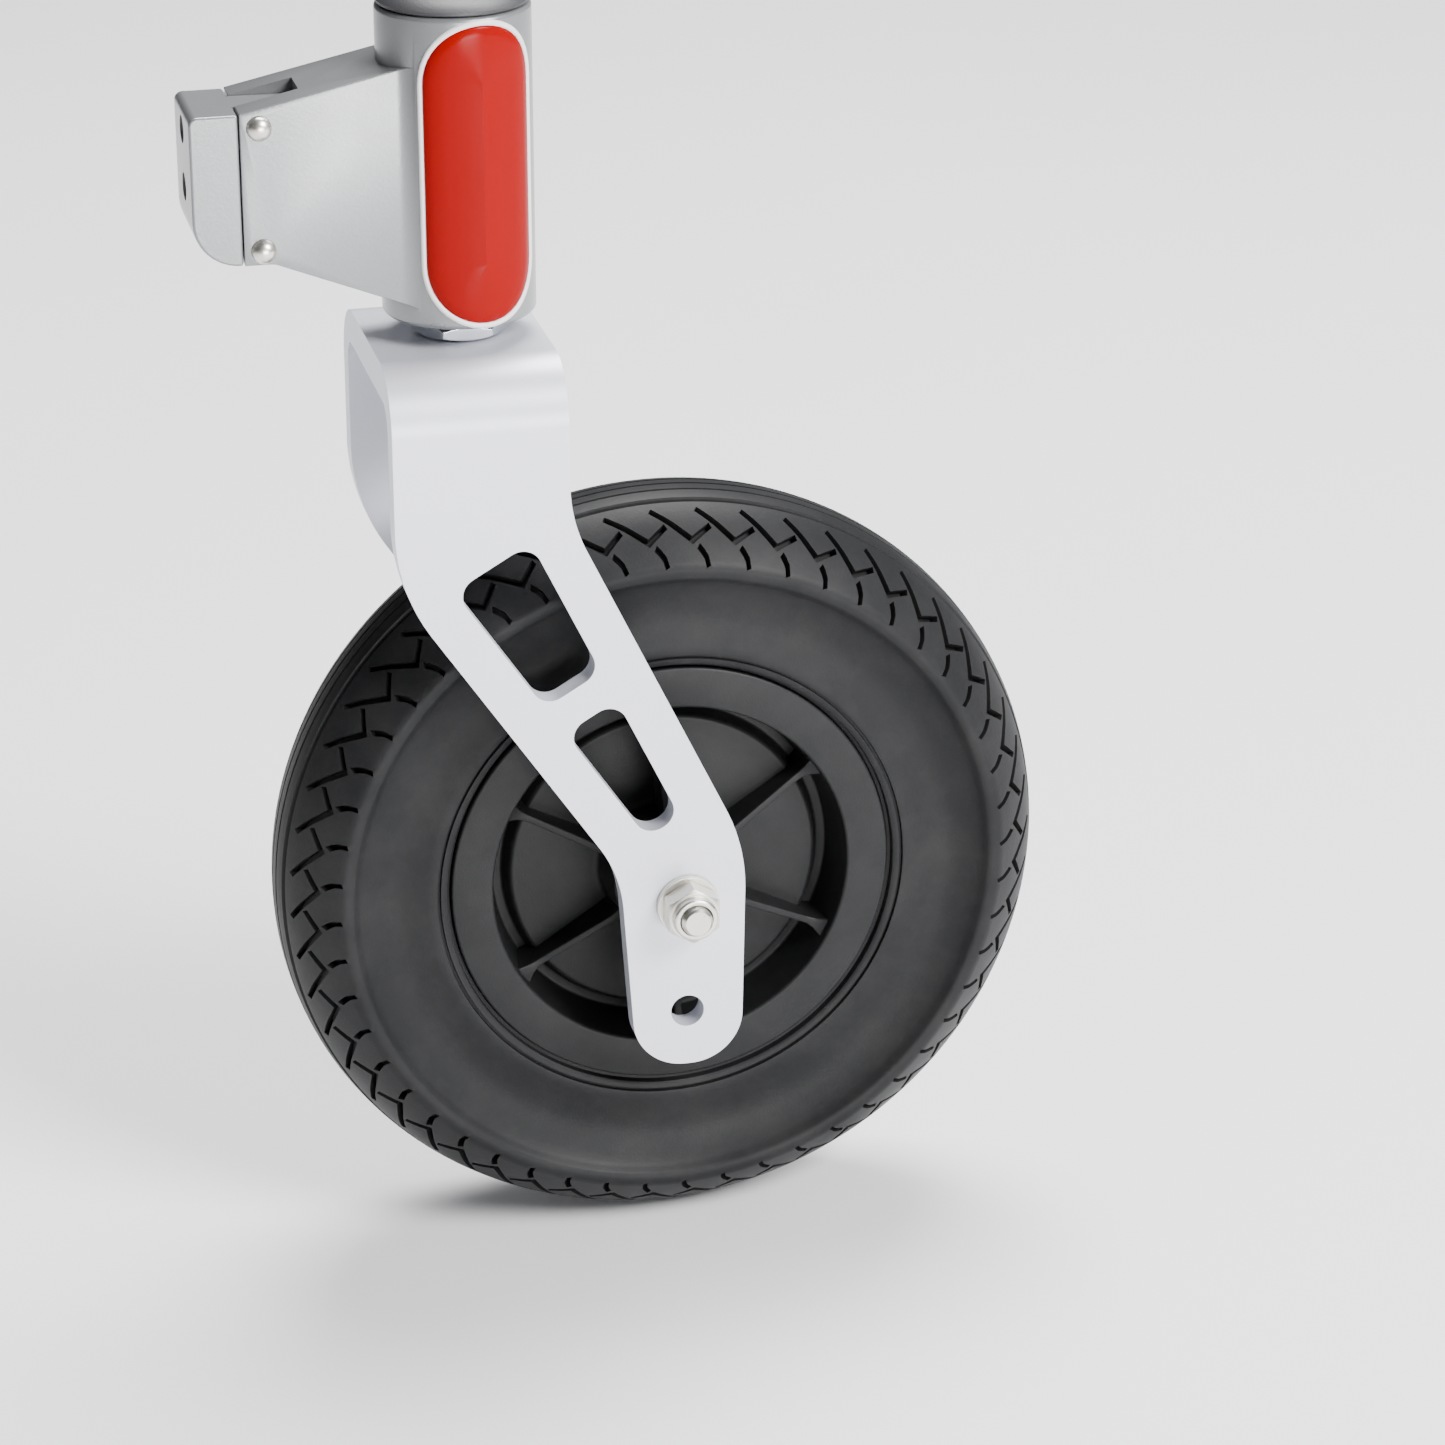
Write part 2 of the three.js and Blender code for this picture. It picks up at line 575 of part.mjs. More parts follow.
function makeHousing() {
  const seat = bearing.outerRadius + seatGap;
  const bore = seat - boreShoulder;
  const lowerSeatEnd = lowerBearingFrom + bearing.width + seatGap;
  const barrel = revolve([
    [seat, barrelBottom],
    [barrelRadius - barrelEdge, barrelBottom],
    [barrelRadius, barrelBottom + barrelEdge],
    [barrelRadius, barrelTop - barrelEdge],
    [barrelRadius - barrelEdge, barrelTop],
    [seat, barrelTop],
    [seat, upperBearingFrom - seatGap],
    [bore, upperBearingFrom - seatGap],
    [bore, lowerSeatEnd],
    [seat, lowerSeatEnd],
  ], barrelSegments);
  const halfArm = armWidth / 2;
  const filletX = stemX - Math.sqrt((barrelRadius + armFilletRadius) ** 2 - (halfArm + armFilletRadius) ** 2);
  const touchAngle = Math.atan2(halfArm + armFilletRadius, filletX - stemX);
  const plan = new THREE.Shape();
  plan.moveTo(armEnd, -halfArm);
  plan.lineTo(armEnd, halfArm);
  plan.absarc(filletX, halfArm + armFilletRadius, armFilletRadius, -Math.PI / 2, touchAngle - Math.PI, false);
  plan.lineTo(stemX, 0);
  plan.absarc(filletX, -halfArm - armFilletRadius, armFilletRadius, Math.PI - touchAngle, Math.PI / 2, false);
  plan.closePath();
  const profile = roundedShape([
    [armEnd - cutMargin, armBottom, 0],
    [...armUndersideEnd, armUndersideRadius],
    [...armUndersideStart, 0],
    [stemX, armUndersideStart[1], 0],
    [stemX, armTopAtBarrel, 0],
    [armEnd - cutMargin, armTopAtEnd, 0],
  ]);
  const arm = planPrism(plan, barrelBottom, barrelTop).intersect(sidePrism(profile, -barrelTop, barrelTop));
  const slotHalf = lugTongueThickness / 2 + seatGap;
  const tongueSlot = new THREE.BoxGeometry(lugTongueLength + seatGap, 2 * slotHalf, barrelTop);
  tongueSlot.translate(armEnd + (lugTongueLength + seatGap) / 2, 0, barrelTop);
  const barrelCore = onStem(rod(seat + cutMargin, barrelBottom - cutMargin, barrelTop + cutMargin));
  const pocketFloor = barrelRadius + inlayProud - inlayDepth - seatGap;
  const pocket = inlaySolid(seatGap, pocketFloor, barrelRadius + cutMargin);
  const cutArm = arm.subtract(barrelCore).subtract(toSolid(tongueSlot)).subtract(makePinHoles());
  return onStem(barrel).add(cutArm).subtract(pocket);
}

const mountHeight = (armBottom + lugCornerRadius + armTopAtEnd) / 2;

function makeLug() {
  const halfArm = armWidth / 2;
  const bodyStart = armEnd - seatGap;
  const body = sidePrism(roundedShape([
    [lugFaceX, armBottom, lugCornerRadius],
    [bodyStart, armBottom, 0],
    [bodyStart, armTopAtEnd, 0],
    [lugFaceX, armTopAtEnd, lugTopRadius],
  ]), -halfArm, halfArm);
  const tongueEnd = armEnd + lugTongueLength;
  const tongue = sidePrism(roundedShape([
    [bodyStart - cutMargin, armBottom, 0],
    [armUndersideEnd[0], armBottom, 0],
    [tongueEnd, armUnderside(tongueEnd), 0],
    [tongueEnd, armTopAtEnd, 0],
    [bodyStart - cutMargin, armTopAtEnd, 0],
  ]), -lugTongueThickness / 2, lugTongueThickness / 2);
  const taps = [-1, 1].map((side) => {
    const length = lugTapDepth + cutMargin;
    const hole = new THREE.CylinderGeometry(lugTapRadius, lugTapRadius, length, ringSegments);
    hole.rotateZ(Math.PI / 2);
    hole.translate(lugFaceX - cutMargin + length / 2, 0, mountHeight + (side * lugTapSpacing) / 2);
    return toSolid(hole);
  });
  return body.add(tongue).subtract(unite([makePinHoles(), ...taps]));
}

function makePin(z) {
  const face = armWidth / 2 + seatGap;
  const profile = [[0, -face - pinHeadHeight]];
  for (let i = 1; i <= domeSteps; i += 1) {
    const angle = (Math.PI / 2) * (i / domeSteps);
    profile.push([pinHeadRadius * Math.sin(angle), -face - pinHeadHeight * Math.cos(angle)]);
  }
  profile.push([pinRadius, -face]);
  const mirrored = profile.map(([radius, y]) => [radius, -y]).reverse();
  const pin = toGeometry(revolve([...profile, ...mirrored], pinSegments));
  pin.translate(pinX, 0, z);
  return toSolid(pin);
}

function makeCap() {
  const plugRadius = bearing.outerRadius;
  const brimFrom = barrelTop + seatGap;
  const domeFrom = brimFrom + capBrim;
  const top = barrelTop + capRise;
  const brimRadius = barrelRadius - barrelEdge + capLip;
  const crown = [];
  for (let i = 0; i <= arcSegments; i += 1) {
    const angle = (Math.PI / 2) * (i / arcSegments);
    crown.push([brimRadius * Math.cos(angle), domeFrom + (top - domeFrom) * Math.sin(angle)]);
  }
  return onStem(revolve([
    [plugRadius, brimFrom],
    [brimRadius, brimFrom],
    ...crown,
    [0, top - capWall],
    [plugRadius - capWall, top - capWall],
    [plugRadius - capWall, barrelTop - capPlugDepth],
    [plugRadius, barrelTop - capPlugDepth],
  ], barrelSegments));
}

function addHead() {
  add('head_housing', makeHousing(), 'castSilver');
  const inlay = inlaySolid(0, barrelRadius + inlayProud - inlayDepth, barrelRadius + inlayProud);
  add('red_inlay', inlay, 'redPlastic');
  add('top_cap', makeCap(), 'blackPlastic');
  add('frame_lug', makeLug(), 'castSilver');
  add('lower_lug_pin', makePin(pinHeights[0]), 'zinc');
  add('upper_lug_pin', makePin(pinHeights[1]), 'zinc');
}

addWheel();
addAxle();
add('fork', makeFork(), 'silver');
addStem();
addHead();
caster.position.set(-lugFaceX, 0, -mountHeight);

const model = new THREE.Group();
model.add(caster);

export default model;
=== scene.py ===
import json
import math
import bpy
import bmesh
from mathutils import Matrix, Vector


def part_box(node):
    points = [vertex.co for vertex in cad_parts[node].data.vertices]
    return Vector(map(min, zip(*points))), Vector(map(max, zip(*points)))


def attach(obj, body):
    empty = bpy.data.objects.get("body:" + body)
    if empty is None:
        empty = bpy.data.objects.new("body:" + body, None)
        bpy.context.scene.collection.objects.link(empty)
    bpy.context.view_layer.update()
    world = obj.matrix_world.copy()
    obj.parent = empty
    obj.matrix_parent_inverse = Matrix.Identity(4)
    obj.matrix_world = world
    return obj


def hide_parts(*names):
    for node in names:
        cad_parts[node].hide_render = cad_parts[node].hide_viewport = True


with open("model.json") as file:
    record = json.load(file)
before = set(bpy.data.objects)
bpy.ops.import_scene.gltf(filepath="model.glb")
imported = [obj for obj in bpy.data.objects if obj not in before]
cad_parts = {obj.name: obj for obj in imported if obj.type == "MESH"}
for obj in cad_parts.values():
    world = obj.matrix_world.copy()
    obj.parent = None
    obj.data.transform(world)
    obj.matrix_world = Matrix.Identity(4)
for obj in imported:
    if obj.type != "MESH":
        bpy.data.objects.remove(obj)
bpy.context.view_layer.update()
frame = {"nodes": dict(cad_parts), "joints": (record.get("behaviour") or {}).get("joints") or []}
print("frame loaded")

# Pieces are drawn in millimetres about the wheel's centre, then settled into the frame in metres.
joints = {joint["name"]: joint for joint in frame["joints"]}
wheelCentre = Vector(joints["wheel_spin"]["pos_m"])
stemPoint = Vector(joints["swivel"]["pos_m"])
stemX = (stemPoint.x - wheelCentre.x) * 1000
settled = Matrix.Translation(wheelCentre) @ Matrix.Scale(0.001, 4)


def boxOf(node):
    # a CAD node's box, in millimetres about the wheel's centre
    return [(corner - wheelCentre) * 1000 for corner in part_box(node)]


# small tools for meshes
past = 1.0  # how far a cutter runs past what it cuts

def newPiece(name, verts, faces):
    mesh = bpy.data.meshes.new(name)
    mesh.from_pydata([tuple(v) for v in verts], [], faces)
    build = bmesh.new()
    build.from_mesh(mesh)
    bmesh.ops.remove_doubles(build, verts=build.verts, dist=1e-4)
    bmesh.ops.recalc_face_normals(build, faces=build.faces)
    build.to_mesh(mesh)
    build.free()
    obj = bpy.data.objects.new(name, mesh)
    bpy.context.scene.collection.objects.link(obj)
    return obj


def bakeModifiers(obj):
    # turns the evaluated object into a plain mesh and drops its modifiers
    bpy.context.view_layer.update()
    graph = bpy.context.evaluated_depsgraph_get()
    mesh = bpy.data.meshes.new_from_object(obj.evaluated_get(graph))
    obj.modifiers.clear()
    old = obj.data
    obj.data = mesh
    mesh.name = obj.name
    if old.users == 0 and isinstance(old, bpy.types.Mesh):
        bpy.data.meshes.remove(old)
    return obj


def combine(obj, tools, operation):
    # joins or cuts with each tool in turn, and removes the tools
    for tool in tools:
        modifier = obj.modifiers.new("combine", "BOOLEAN")
        modifier.operation = operation
        modifier.solver = "MANIFOLD"
        modifier.object = tool
        bakeModifiers(obj)
    for tool in tools:
        bpy.data.objects.remove(tool)
    return obj


def bevelEdges(obj, width, segments=2, angle=35):
    modifier = obj.modifiers.new("bevel", "BEVEL")
    modifier.width = width
    modifier.segments = segments
    modifier.limit_method = "ANGLE"
    modifier.angle_limit = math.radians(angle)
    modifier.miter_outer = "MITER_ARC"
    return bakeModifiers(obj)


def shade(obj, angle=32, weighted=True):
    obj.data.shade_smooth()
    obj.data.set_sharp_from_angle(angle=math.radians(angle))
    if weighted:
        modifier = obj.modifiers.new("normals", "WEIGHTED_NORMAL")
        modifier.keep_sharp = True
        bakeModifiers(obj)
    return obj


def settle(obj, body, material, replaces=()):
    # puts a finished piece into the frame, gives it its finish and lets it ride
    obj.data.transform(settled)
    obj.data.materials.clear()
    obj.data.materials.append(material)
    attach(obj, body)
    if replaces:
        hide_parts(*replaces)
    return obj


def turned(name, profile, segments, axis="Y", centreX=0.0, closed=True):
    # revolves [radius, height] points about an axis along Y or Z; radius 0 is a pole
    verts, rings = [], []
    for radius, height in profile:
        ring = []
        for i in range(1 if radius < 1e-6 else segments):
            angle = 2 * math.pi * i / segments
            across, along = centreX + radius * math.cos(angle), radius * math.sin(angle)
            ring.append(len(verts))
            verts.append((across, height, along) if axis == "Y" else (across, along, height))
        rings.append(ring)
    pairs = list(zip(rings, rings[1:] + (rings[:1] if closed else [])))
    faces = []
    for a, b in pairs:
        for i in range(segments):
            j = (i + 1) % segments
            if len(a) == 1 and len(b) == 1:
                continue
            if len(a) == 1:
                faces.append((a[0], b[j], b[i]))
            elif len(b) == 1:
                faces.append((a[i], a[j], b[0]))
            else:
                faces.append((a[i], a[j], b[j], b[i]))
    return newPiece(name, verts, faces)


def rounded(corners, steps=8):
    # an outline with an arc at each (x, y, radius) corner
    points = []
    for i, (x, y, radius) in enumerate(corners):
        here = Vector((x, y))
        toBefore = (Vector(corners[i - 1][:2]) - here).normalized()
        toAfter = (Vector(corners[(i + 1) % len(corners)][:2]) - here).normalized()
        if radius <= 0:
            points.append(tuple(here))
            continue
        half = toBefore.angle(toAfter) / 2
        centre = here + (toBefore + toAfter).normalized() * (radius / math.sin(half))
        reach = radius / math.tan(half)
        start = here + toBefore * reach - centre
        sweep = (here + toAfter * reach - centre).angle_signed(start)
        for k in range(steps + 1):
            angle = sweep * k / steps
            cos, sin = math.cos(angle), math.sin(angle)
            across, up = start.x * cos - start.y * sin, start.x * sin + start.y * cos
            points.append((centre.x + across, centre.y + up))
    return points


def prism(name, outline, low, high, plane):
    # an outline drawn in XZ, YZ or XY, as thick as low to high along the third axis
    spot = {
        "XZ": lambda p, h: (p[0], h, p[1]),
        "YZ": lambda p, h: (h, p[0], p[1]),
        "XY": lambda p, h: (p[0], p[1], h),
    }[plane]
    count = len(outline)
    verts = [spot(p, low) for p in outline] + [spot(p, high) for p in outline]
    faces = [tuple(range(count)), tuple(range(2 * count - 1, count - 1, -1))]
    faces += [(i, (i + 1) % count, count + (i + 1) % count, count + i) for i in range(count)]
    return newPiece(name, verts, faces)


def rod(name, radius, low, high, axis="Y", x=0.0, z=0.0, segments=48):
    obj = turned(name, [(0, low), (radius, low), (radius, high), (0, high)], segments, axis, closed=False)
    obj.data.transform(Matrix.Translation((x, 0, z)))
    return obj


def eased(corners, edge):
    # a closed profile with each listed corner cut back by a small round
    return rounded([(r, h, edge) for r, h in corners], 3)


# geometry node trees
def addSocket(tree, name, kind, value=None, side="INPUT"):
    socket = tree.interface.new_socket(name=name, in_out=side, socket_type=kind)
    if value is not None:
        socket.default_value = value


def setInputs(modifier, values):
    for item in modifier.node_group.interface.items_tree:
        if item.item_type == "SOCKET" and item.in_out == "INPUT" and item.name in values:
            modifier[item.identifier] = values[item.name]


def ringRepeatTree():
    # copies a shape Count times round the Y axis
    tree = bpy.data.node_groups.new("Ring repeat", "GeometryNodeTree")
    addSocket(tree, "Shape", "NodeSocketGeometry")
    addSocket(tree, "Count", "NodeSocketInt", 6)
    addSocket(tree, "First angle", "NodeSocketFloat", 0.0)
    addSocket(tree, "Material", "NodeSocketMaterial")
    addSocket(tree, "Shape", "NodeSocketGeometry", side="OUTPUT")
    add = tree.nodes.new
    link = tree.links.new
    source, result = add("NodeGroupInput"), add("NodeGroupOutput")
    points, copies = add("GeometryNodePoints"), add("GeometryNodeInstanceOnPoints")
    index, step, turn = add("GeometryNodeInputIndex"), add("ShaderNodeMath"), add("ShaderNodeMath")
    spin = add("ShaderNodeCombineXYZ")
    real, finish = add("GeometryNodeRealizeInstances"), add("GeometryNodeSetMaterial")
    step.operation, turn.operation = "DIVIDE", "MULTIPLY_ADD"
    step.inputs[0].default_value = 2 * math.pi
    link(source.outputs["Count"], points.inputs["Count"])
    link(source.outputs["Count"], step.inputs[1])
    link(index.outputs[0], turn.inputs[0])
    link(step.outputs[0], turn.inputs[1])
    link(source.outputs["First angle"], turn.inputs[2])
    link(turn.outputs[0], spin.inputs["Y"])
    link(points.outputs[0], copies.inputs["Points"])
    link(source.outputs["Shape"], copies.inputs["Instance"])
    link(spin.outputs[0], copies.inputs["Rotation"])
    link(copies.outputs[0], real.inputs[0])
    link(real.outputs[0], finish.inputs["Geometry"])
    link(source.outputs["Material"], finish.inputs["Material"])
    link(finish.outputs[0], result.inputs[0])
    return tree


def beadTree():
    # a round bead along a curve
    tree = bpy.data.node_groups.new("Bead along curve", "GeometryNodeTree")
    addSocket(tree, "Path", "NodeSocketGeometry")
    addSocket(tree, "Bead radius", "NodeSocketFloat", 0.5)
    addSocket(tree, "Bead sides", "NodeSocketInt", 10)
    addSocket(tree, "Material", "NodeSocketMaterial")
    addSocket(tree, "Bead", "NodeSocketGeometry", side="OUTPUT")
    add = tree.nodes.new
    link = tree.links.new
    source, result = add("NodeGroupInput"), add("NodeGroupOutput")
    section, sweep = add("GeometryNodeCurvePrimitiveCircle"), add("GeometryNodeCurveToMesh")
    real, finish = add("GeometryNodeRealizeInstances"), add("GeometryNodeSetMaterial")
    link(source.outputs["Bead radius"], section.inputs["Radius"])
    link(source.outputs["Bead sides"], section.inputs["Resolution"])
    link(source.outputs["Path"], sweep.inputs["Curve"])
    link(section.outputs[0], sweep.inputs["Profile Curve"])
    link(sweep.outputs[0], real.inputs[0])
    link(real.outputs[0], finish.inputs["Geometry"])
    link(source.outputs["Material"], finish.inputs["Material"])
    link(finish.outputs[0], result.inputs[0])
    return tree


ringRepeat = ringRepeatTree()
beadAlong = beadTree()


def repeatRound(obj, count, firstAngle, material):
    modifier = obj.modifiers.new("repeat", "NODES")
    modifier.node_group = ringRepeat
    setInputs(modifier, {"Count": count, "First angle": math.radians(firstAngle), "Material": material})
    return bakeModifiers(obj)


# shader groups and materials
def surfaceGroup():
    # grain and blotches: a colour, a roughness and a height that vary over the surface
    tree = bpy.data.node_groups.new("Surface variation", "ShaderNodeTree")
    addSocket(tree, "Color", "NodeSocketColor", (0.5, 0.5, 0.5, 1))
    addSocket(tree, "Roughness", "NodeSocketFloat", 0.4)
    addSocket(tree, "Grain size", "NodeSocketFloat", 2000.0)
    addSocket(tree, "Grain tint", "NodeSocketFloat", 0.05)
    addSocket(tree, "Blotch size", "NodeSocketFloat", 30.0)
    addSocket(tree, "Blotch tint", "NodeSocketFloat", 0.06)
    addSocket(tree, "Rough spread", "NodeSocketFloat", 0.1)
    addSocket(tree, "Color", "NodeSocketColor", side="OUTPUT")
    addSocket(tree, "Roughness", "NodeSocketFloat", side="OUTPUT")
    addSocket(tree, "Height", "NodeSocketFloat", side="OUTPUT")
    add, link = tree.nodes.new, tree.links.new
    source, result = add("NodeGroupInput"), add("NodeGroupOutput")
    place = add("ShaderNodeTexCoord")
    grain, blotch = add("ShaderNodeTexNoise"), add("ShaderNodeTexNoise")
    grain.inputs["Detail"].default_value = 3
    blotch.inputs["Detail"].default_value = 5
    blotch.inputs["Roughness"].default_value = 0.6
    for noise, size in ((grain, "Grain size"), (blotch, "Blotch size")):
        link(place.outputs["Object"], noise.inputs["Vector"])
        link(source.outputs[size], noise.inputs["Scale"])

    def swing(noise, amount):
        # (noise - 0.5) * 2 * amount
        centred, scaled = add("ShaderNodeMath"), add("ShaderNodeMath")
        centred.operation, scaled.operation = "MULTIPLY_ADD", "MULTIPLY"
        centred.inputs[1].default_value, centred.inputs[2].default_value = 2.0, -1.0
        link(noise.outputs[0], centred.inputs[0])
        link(centred.outputs[0], scaled.inputs[0])
        link(source.outputs[amount], scaled.inputs[1])
        return scaled

    grainTint = swing(grain, "Grain tint")
    blotchTint = swing(blotch, "Blotch tint")
    spread = swing(blotch, "Rough spread")
    tint, level = add("ShaderNodeMath"), add("ShaderNodeMath")
    tint.operation, level.operation = "ADD", "ADD"
    link(grainTint.outputs[0], tint.inputs[0])
    link(blotchTint.outputs[0], tint.inputs[1])
    link(tint.outputs[0], level.inputs[0])
    level.inputs[1].default_value = 1.0
    shaded = add("ShaderNodeVectorMath")
    shaded.operation = "SCALE"
    link(source.outputs["Color"], shaded.inputs[0])
    link(level.outputs[0], shaded.inputs["Scale"])
    link(shaded.outputs[0], result.inputs["Color"])
    rough = add("ShaderNodeMath")
    rough.operation = "ADD"
    rough.use_clamp = True
    link(source.outputs["Roughness"], rough.inputs[0])
    link(spread.outputs[0], rough.inputs[1])
    link(rough.outputs[0], result.inputs["Roughness"])
    link(grain.outputs[0], result.inputs["Height"])
    return tree


def dustGroup():
    # pale dust in patches
    tree = bpy.data.node_groups.new("Dust", "ShaderNodeTree")
    addSocket(tree, "Color", "NodeSocketColor", (0.1, 0.1, 0.1, 1))
    addSocket(tree, "Dust color", "NodeSocketColor", (0.35, 0.34, 0.32, 1))
    addSocket(tree, "Amount", "NodeSocketFloat", 0.2)
    addSocket(tree, "Patch size", "NodeSocketFloat", 25.0)
    addSocket(tree, "Color", "NodeSocketColor", side="OUTPUT")
    add, link = tree.nodes.new, tree.links.new
    source, result = add("NodeGroupInput"), add("NodeGroupOutput")
    place, patch, ramp = add("ShaderNodeTexCoord"), add("ShaderNodeTexNoise"), add("ShaderNodeMapRange")
    patch.inputs["Detail"].default_value = 8
    patch.inputs["Roughness"].default_value = 0.7
    link(place.outputs["Object"], patch.inputs["Vector"])
    link(source.outputs["Patch size"], patch.inputs["Scale"])
    ramp.inputs["From Min"].default_value, ramp.inputs["From Max"].default_value = 0.42, 0.72
    link(patch.outputs[0], ramp.inputs["Value"])
    share = add("ShaderNodeMath")
    share.operation = "MULTIPLY"
    link(ramp.outputs[0], share.inputs[0])
    link(source.outputs["Amount"], share.inputs[1])
    blend = add("ShaderNodeMix")
    blend.data_type = "RGBA"
    link(share.outputs[0], blend.inputs["Factor"])
    link(source.outputs["Color"], blend.inputs[6])
    link(source.outputs["Dust color"], blend.inputs[7])
    link(blend.outputs[2], result.inputs["Color"])
    return tree


surfaceVariation = surfaceGroup()
dustLayer = dustGroup()


def makeMaterial(name, look):
    material = bpy.data.materials.new(name)
    material.use_nodes = True
    nodes, link = material.node_tree.nodes, material.node_tree.links.new
    shader = nodes["Principled BSDF"]
    shader.inputs["Metallic"].default_value = look.get("metallic", 0.0)
    shader.inputs["Coat Weight"].default_value = look.get("coat", 0.0)
    shader.inputs["Coat Roughness"].default_value = look.get("coatRoughness", 0.1)
    shader.inputs["IOR"].default_value = look.get("ior", 1.5)
    shader.inputs["Specular IOR Level"].default_value = look.get("specular", 0.5)
    surface = nodes.new("ShaderNodeGroup")
    surface.node_tree = surfaceVariation
    surface.inputs["Color"].default_value = (*look["color"], 1)
    surface.inputs["Roughness"].default_value = look["roughness"]
    for key, socket in (("grain", "Grain size"), ("grainTint", "Grain tint"), ("blotch", "Blotch size"),
                        ("blotchTint", "Blotch tint"), ("spread", "Rough spread")):
        if key in look:
            surface.inputs[socket].default_value = look[key]
    tinted = surface.outputs["Color"]
    if look.get("dust"):
        dust = nodes.new("ShaderNodeGroup")
        dust.node_tree = dustLayer
        dust.inputs["Amount"].default_value = look["dust"]
        dust.inputs["Dust color"].default_value = (*look["dustColor"], 1)
        dust.inputs["Patch size"].default_value = look.get("dustPatch", 25.0)
        link(tinted, dust.inputs["Color"])
        tinted = dust.outputs["Color"]
    link(tinted, shader.inputs["Base Color"])
    link(surface.outputs["Roughness"], shader.inputs["Roughness"])
    bump = nodes.new("ShaderNodeBump")
    bump.inputs["Strength"].default_value = look.get("bump", 0.1)
    bump.inputs["Distance"].default_value = look.get("bumpDepth", 0.0002)
    link(surface.outputs["Height"], bump.inputs["Height"])
    link(bump.outputs["Normal"], shader.inputs["Normal"])
    return material


silverPaint = makeMaterial("satin silver paint", {
    "color": (0.66, 0.67, 0.73), "metallic": 0.35, "roughness": 0.42, "grain": 4200, "grainTint": 0.05,
    "blotch": 18, "blotchTint": 0.02, "spread": 0.05, "bump": 0.05, "bumpDepth": 0.0001, "coat": 0.12,
    "coatRoughness": 0.4})
castPaint = makeMaterial("cast silver paint", {
    "color": (0.23, 0.235, 0.24), "metallic": 0.55, "roughness": 0.3, "grain": 1500, "grainTint": 0.06,
    "blotch": 30, "blotchTint": 0.04, "spread": 0.08, "bump": 0.12, "bumpDepth": 0.0002, "coat": 0.2,
    "coatRoughness": 0.25})
zincPlate = makeMaterial("zinc plate", {
    "color": (0.68, 0.66, 0.6), "metallic": 0.95, "roughness": 0.3, "grain": 2600, "grainTint": 0.08,
    "blotch": 160, "blotchTint": 0.14, "spread": 0.12, "bump": 0.08, "bumpDepth": 0.0001})
brightPlate = makeMaterial("bright plate", {
    "color": (0.82, 0.84, 0.88), "metallic": 1.0, "roughness": 0.14, "grain": 2600, "grainTint": 0.04,
    "blotch": 120, "blotchTint": 0.06, "spread": 0.06, "bump": 0.04, "bumpDepth": 0.0001})
groundSteel = makeMaterial("ground steel", {
    "color": (0.5, 0.51, 0.53), "metallic": 1.0, "roughness": 0.26, "grain": 3000, "grainTint": 0.08,
    "blotch": 200, "blotchTint": 0.08, "spread": 0.08, "bump": 0.05, "bumpDepth": 0.0001})
tyreRubber = makeMaterial("tyre rubber", {
    "color": (0.0082, 0.0084, 0.009), "roughness": 0.5, "grain": 1400, "grainTint": 0.1, "blotch": 40,
    "blotchTint": 0.1, "spread": 0.08, "bump": 0.22, "bumpDepth": 0.0002, "dust": 0.07,
    "dustColor": (0.12, 0.118, 0.115), "dustPatch": 35.0, "specular": 0.17})
rimPlastic = makeMaterial("moulded rim plastic", {
    "color": (0.0066, 0.0068, 0.0072), "roughness": 0.46, "grain": 1800, "grainTint": 0.08, "blotch": 35,
    "blotchTint": 0.1, "spread": 0.08, "bump": 0.2, "bumpDepth": 0.0002, "dust": 0.06,
    "dustColor": (0.1, 0.1, 0.1), "dustPatch": 45.0, "specular": 0.22})
redGloss = makeMaterial("red gloss plastic", {
    "color": (0.23, 0.0008, 0.0008), "roughness": 0.2, "grain": 900, "grainTint": 0.03, "blotch": 25,
    "blotchTint": 0.03, "spread": 0.03, "bump": 0.03, "bumpDepth": 0.0001, "specular": 0.08})
paleRim = makeMaterial("pale rim plastic", {
    "color": (0.78, 0.74, 0.75), "roughness": 0.3, "grain": 900, "grainTint": 0.02, "bump": 0.03})
blackPlastic = makeMaterial("black cap plastic", {
    "color": (0.03, 0.03, 0.033), "roughness": 0.45, "grain": 1600, "grainTint": 0.08, "blotch": 30,
    "blotchTint": 0.08, "spread": 0.06, "bump": 0.25, "bumpDepth": 0.0002})
print("materials made")


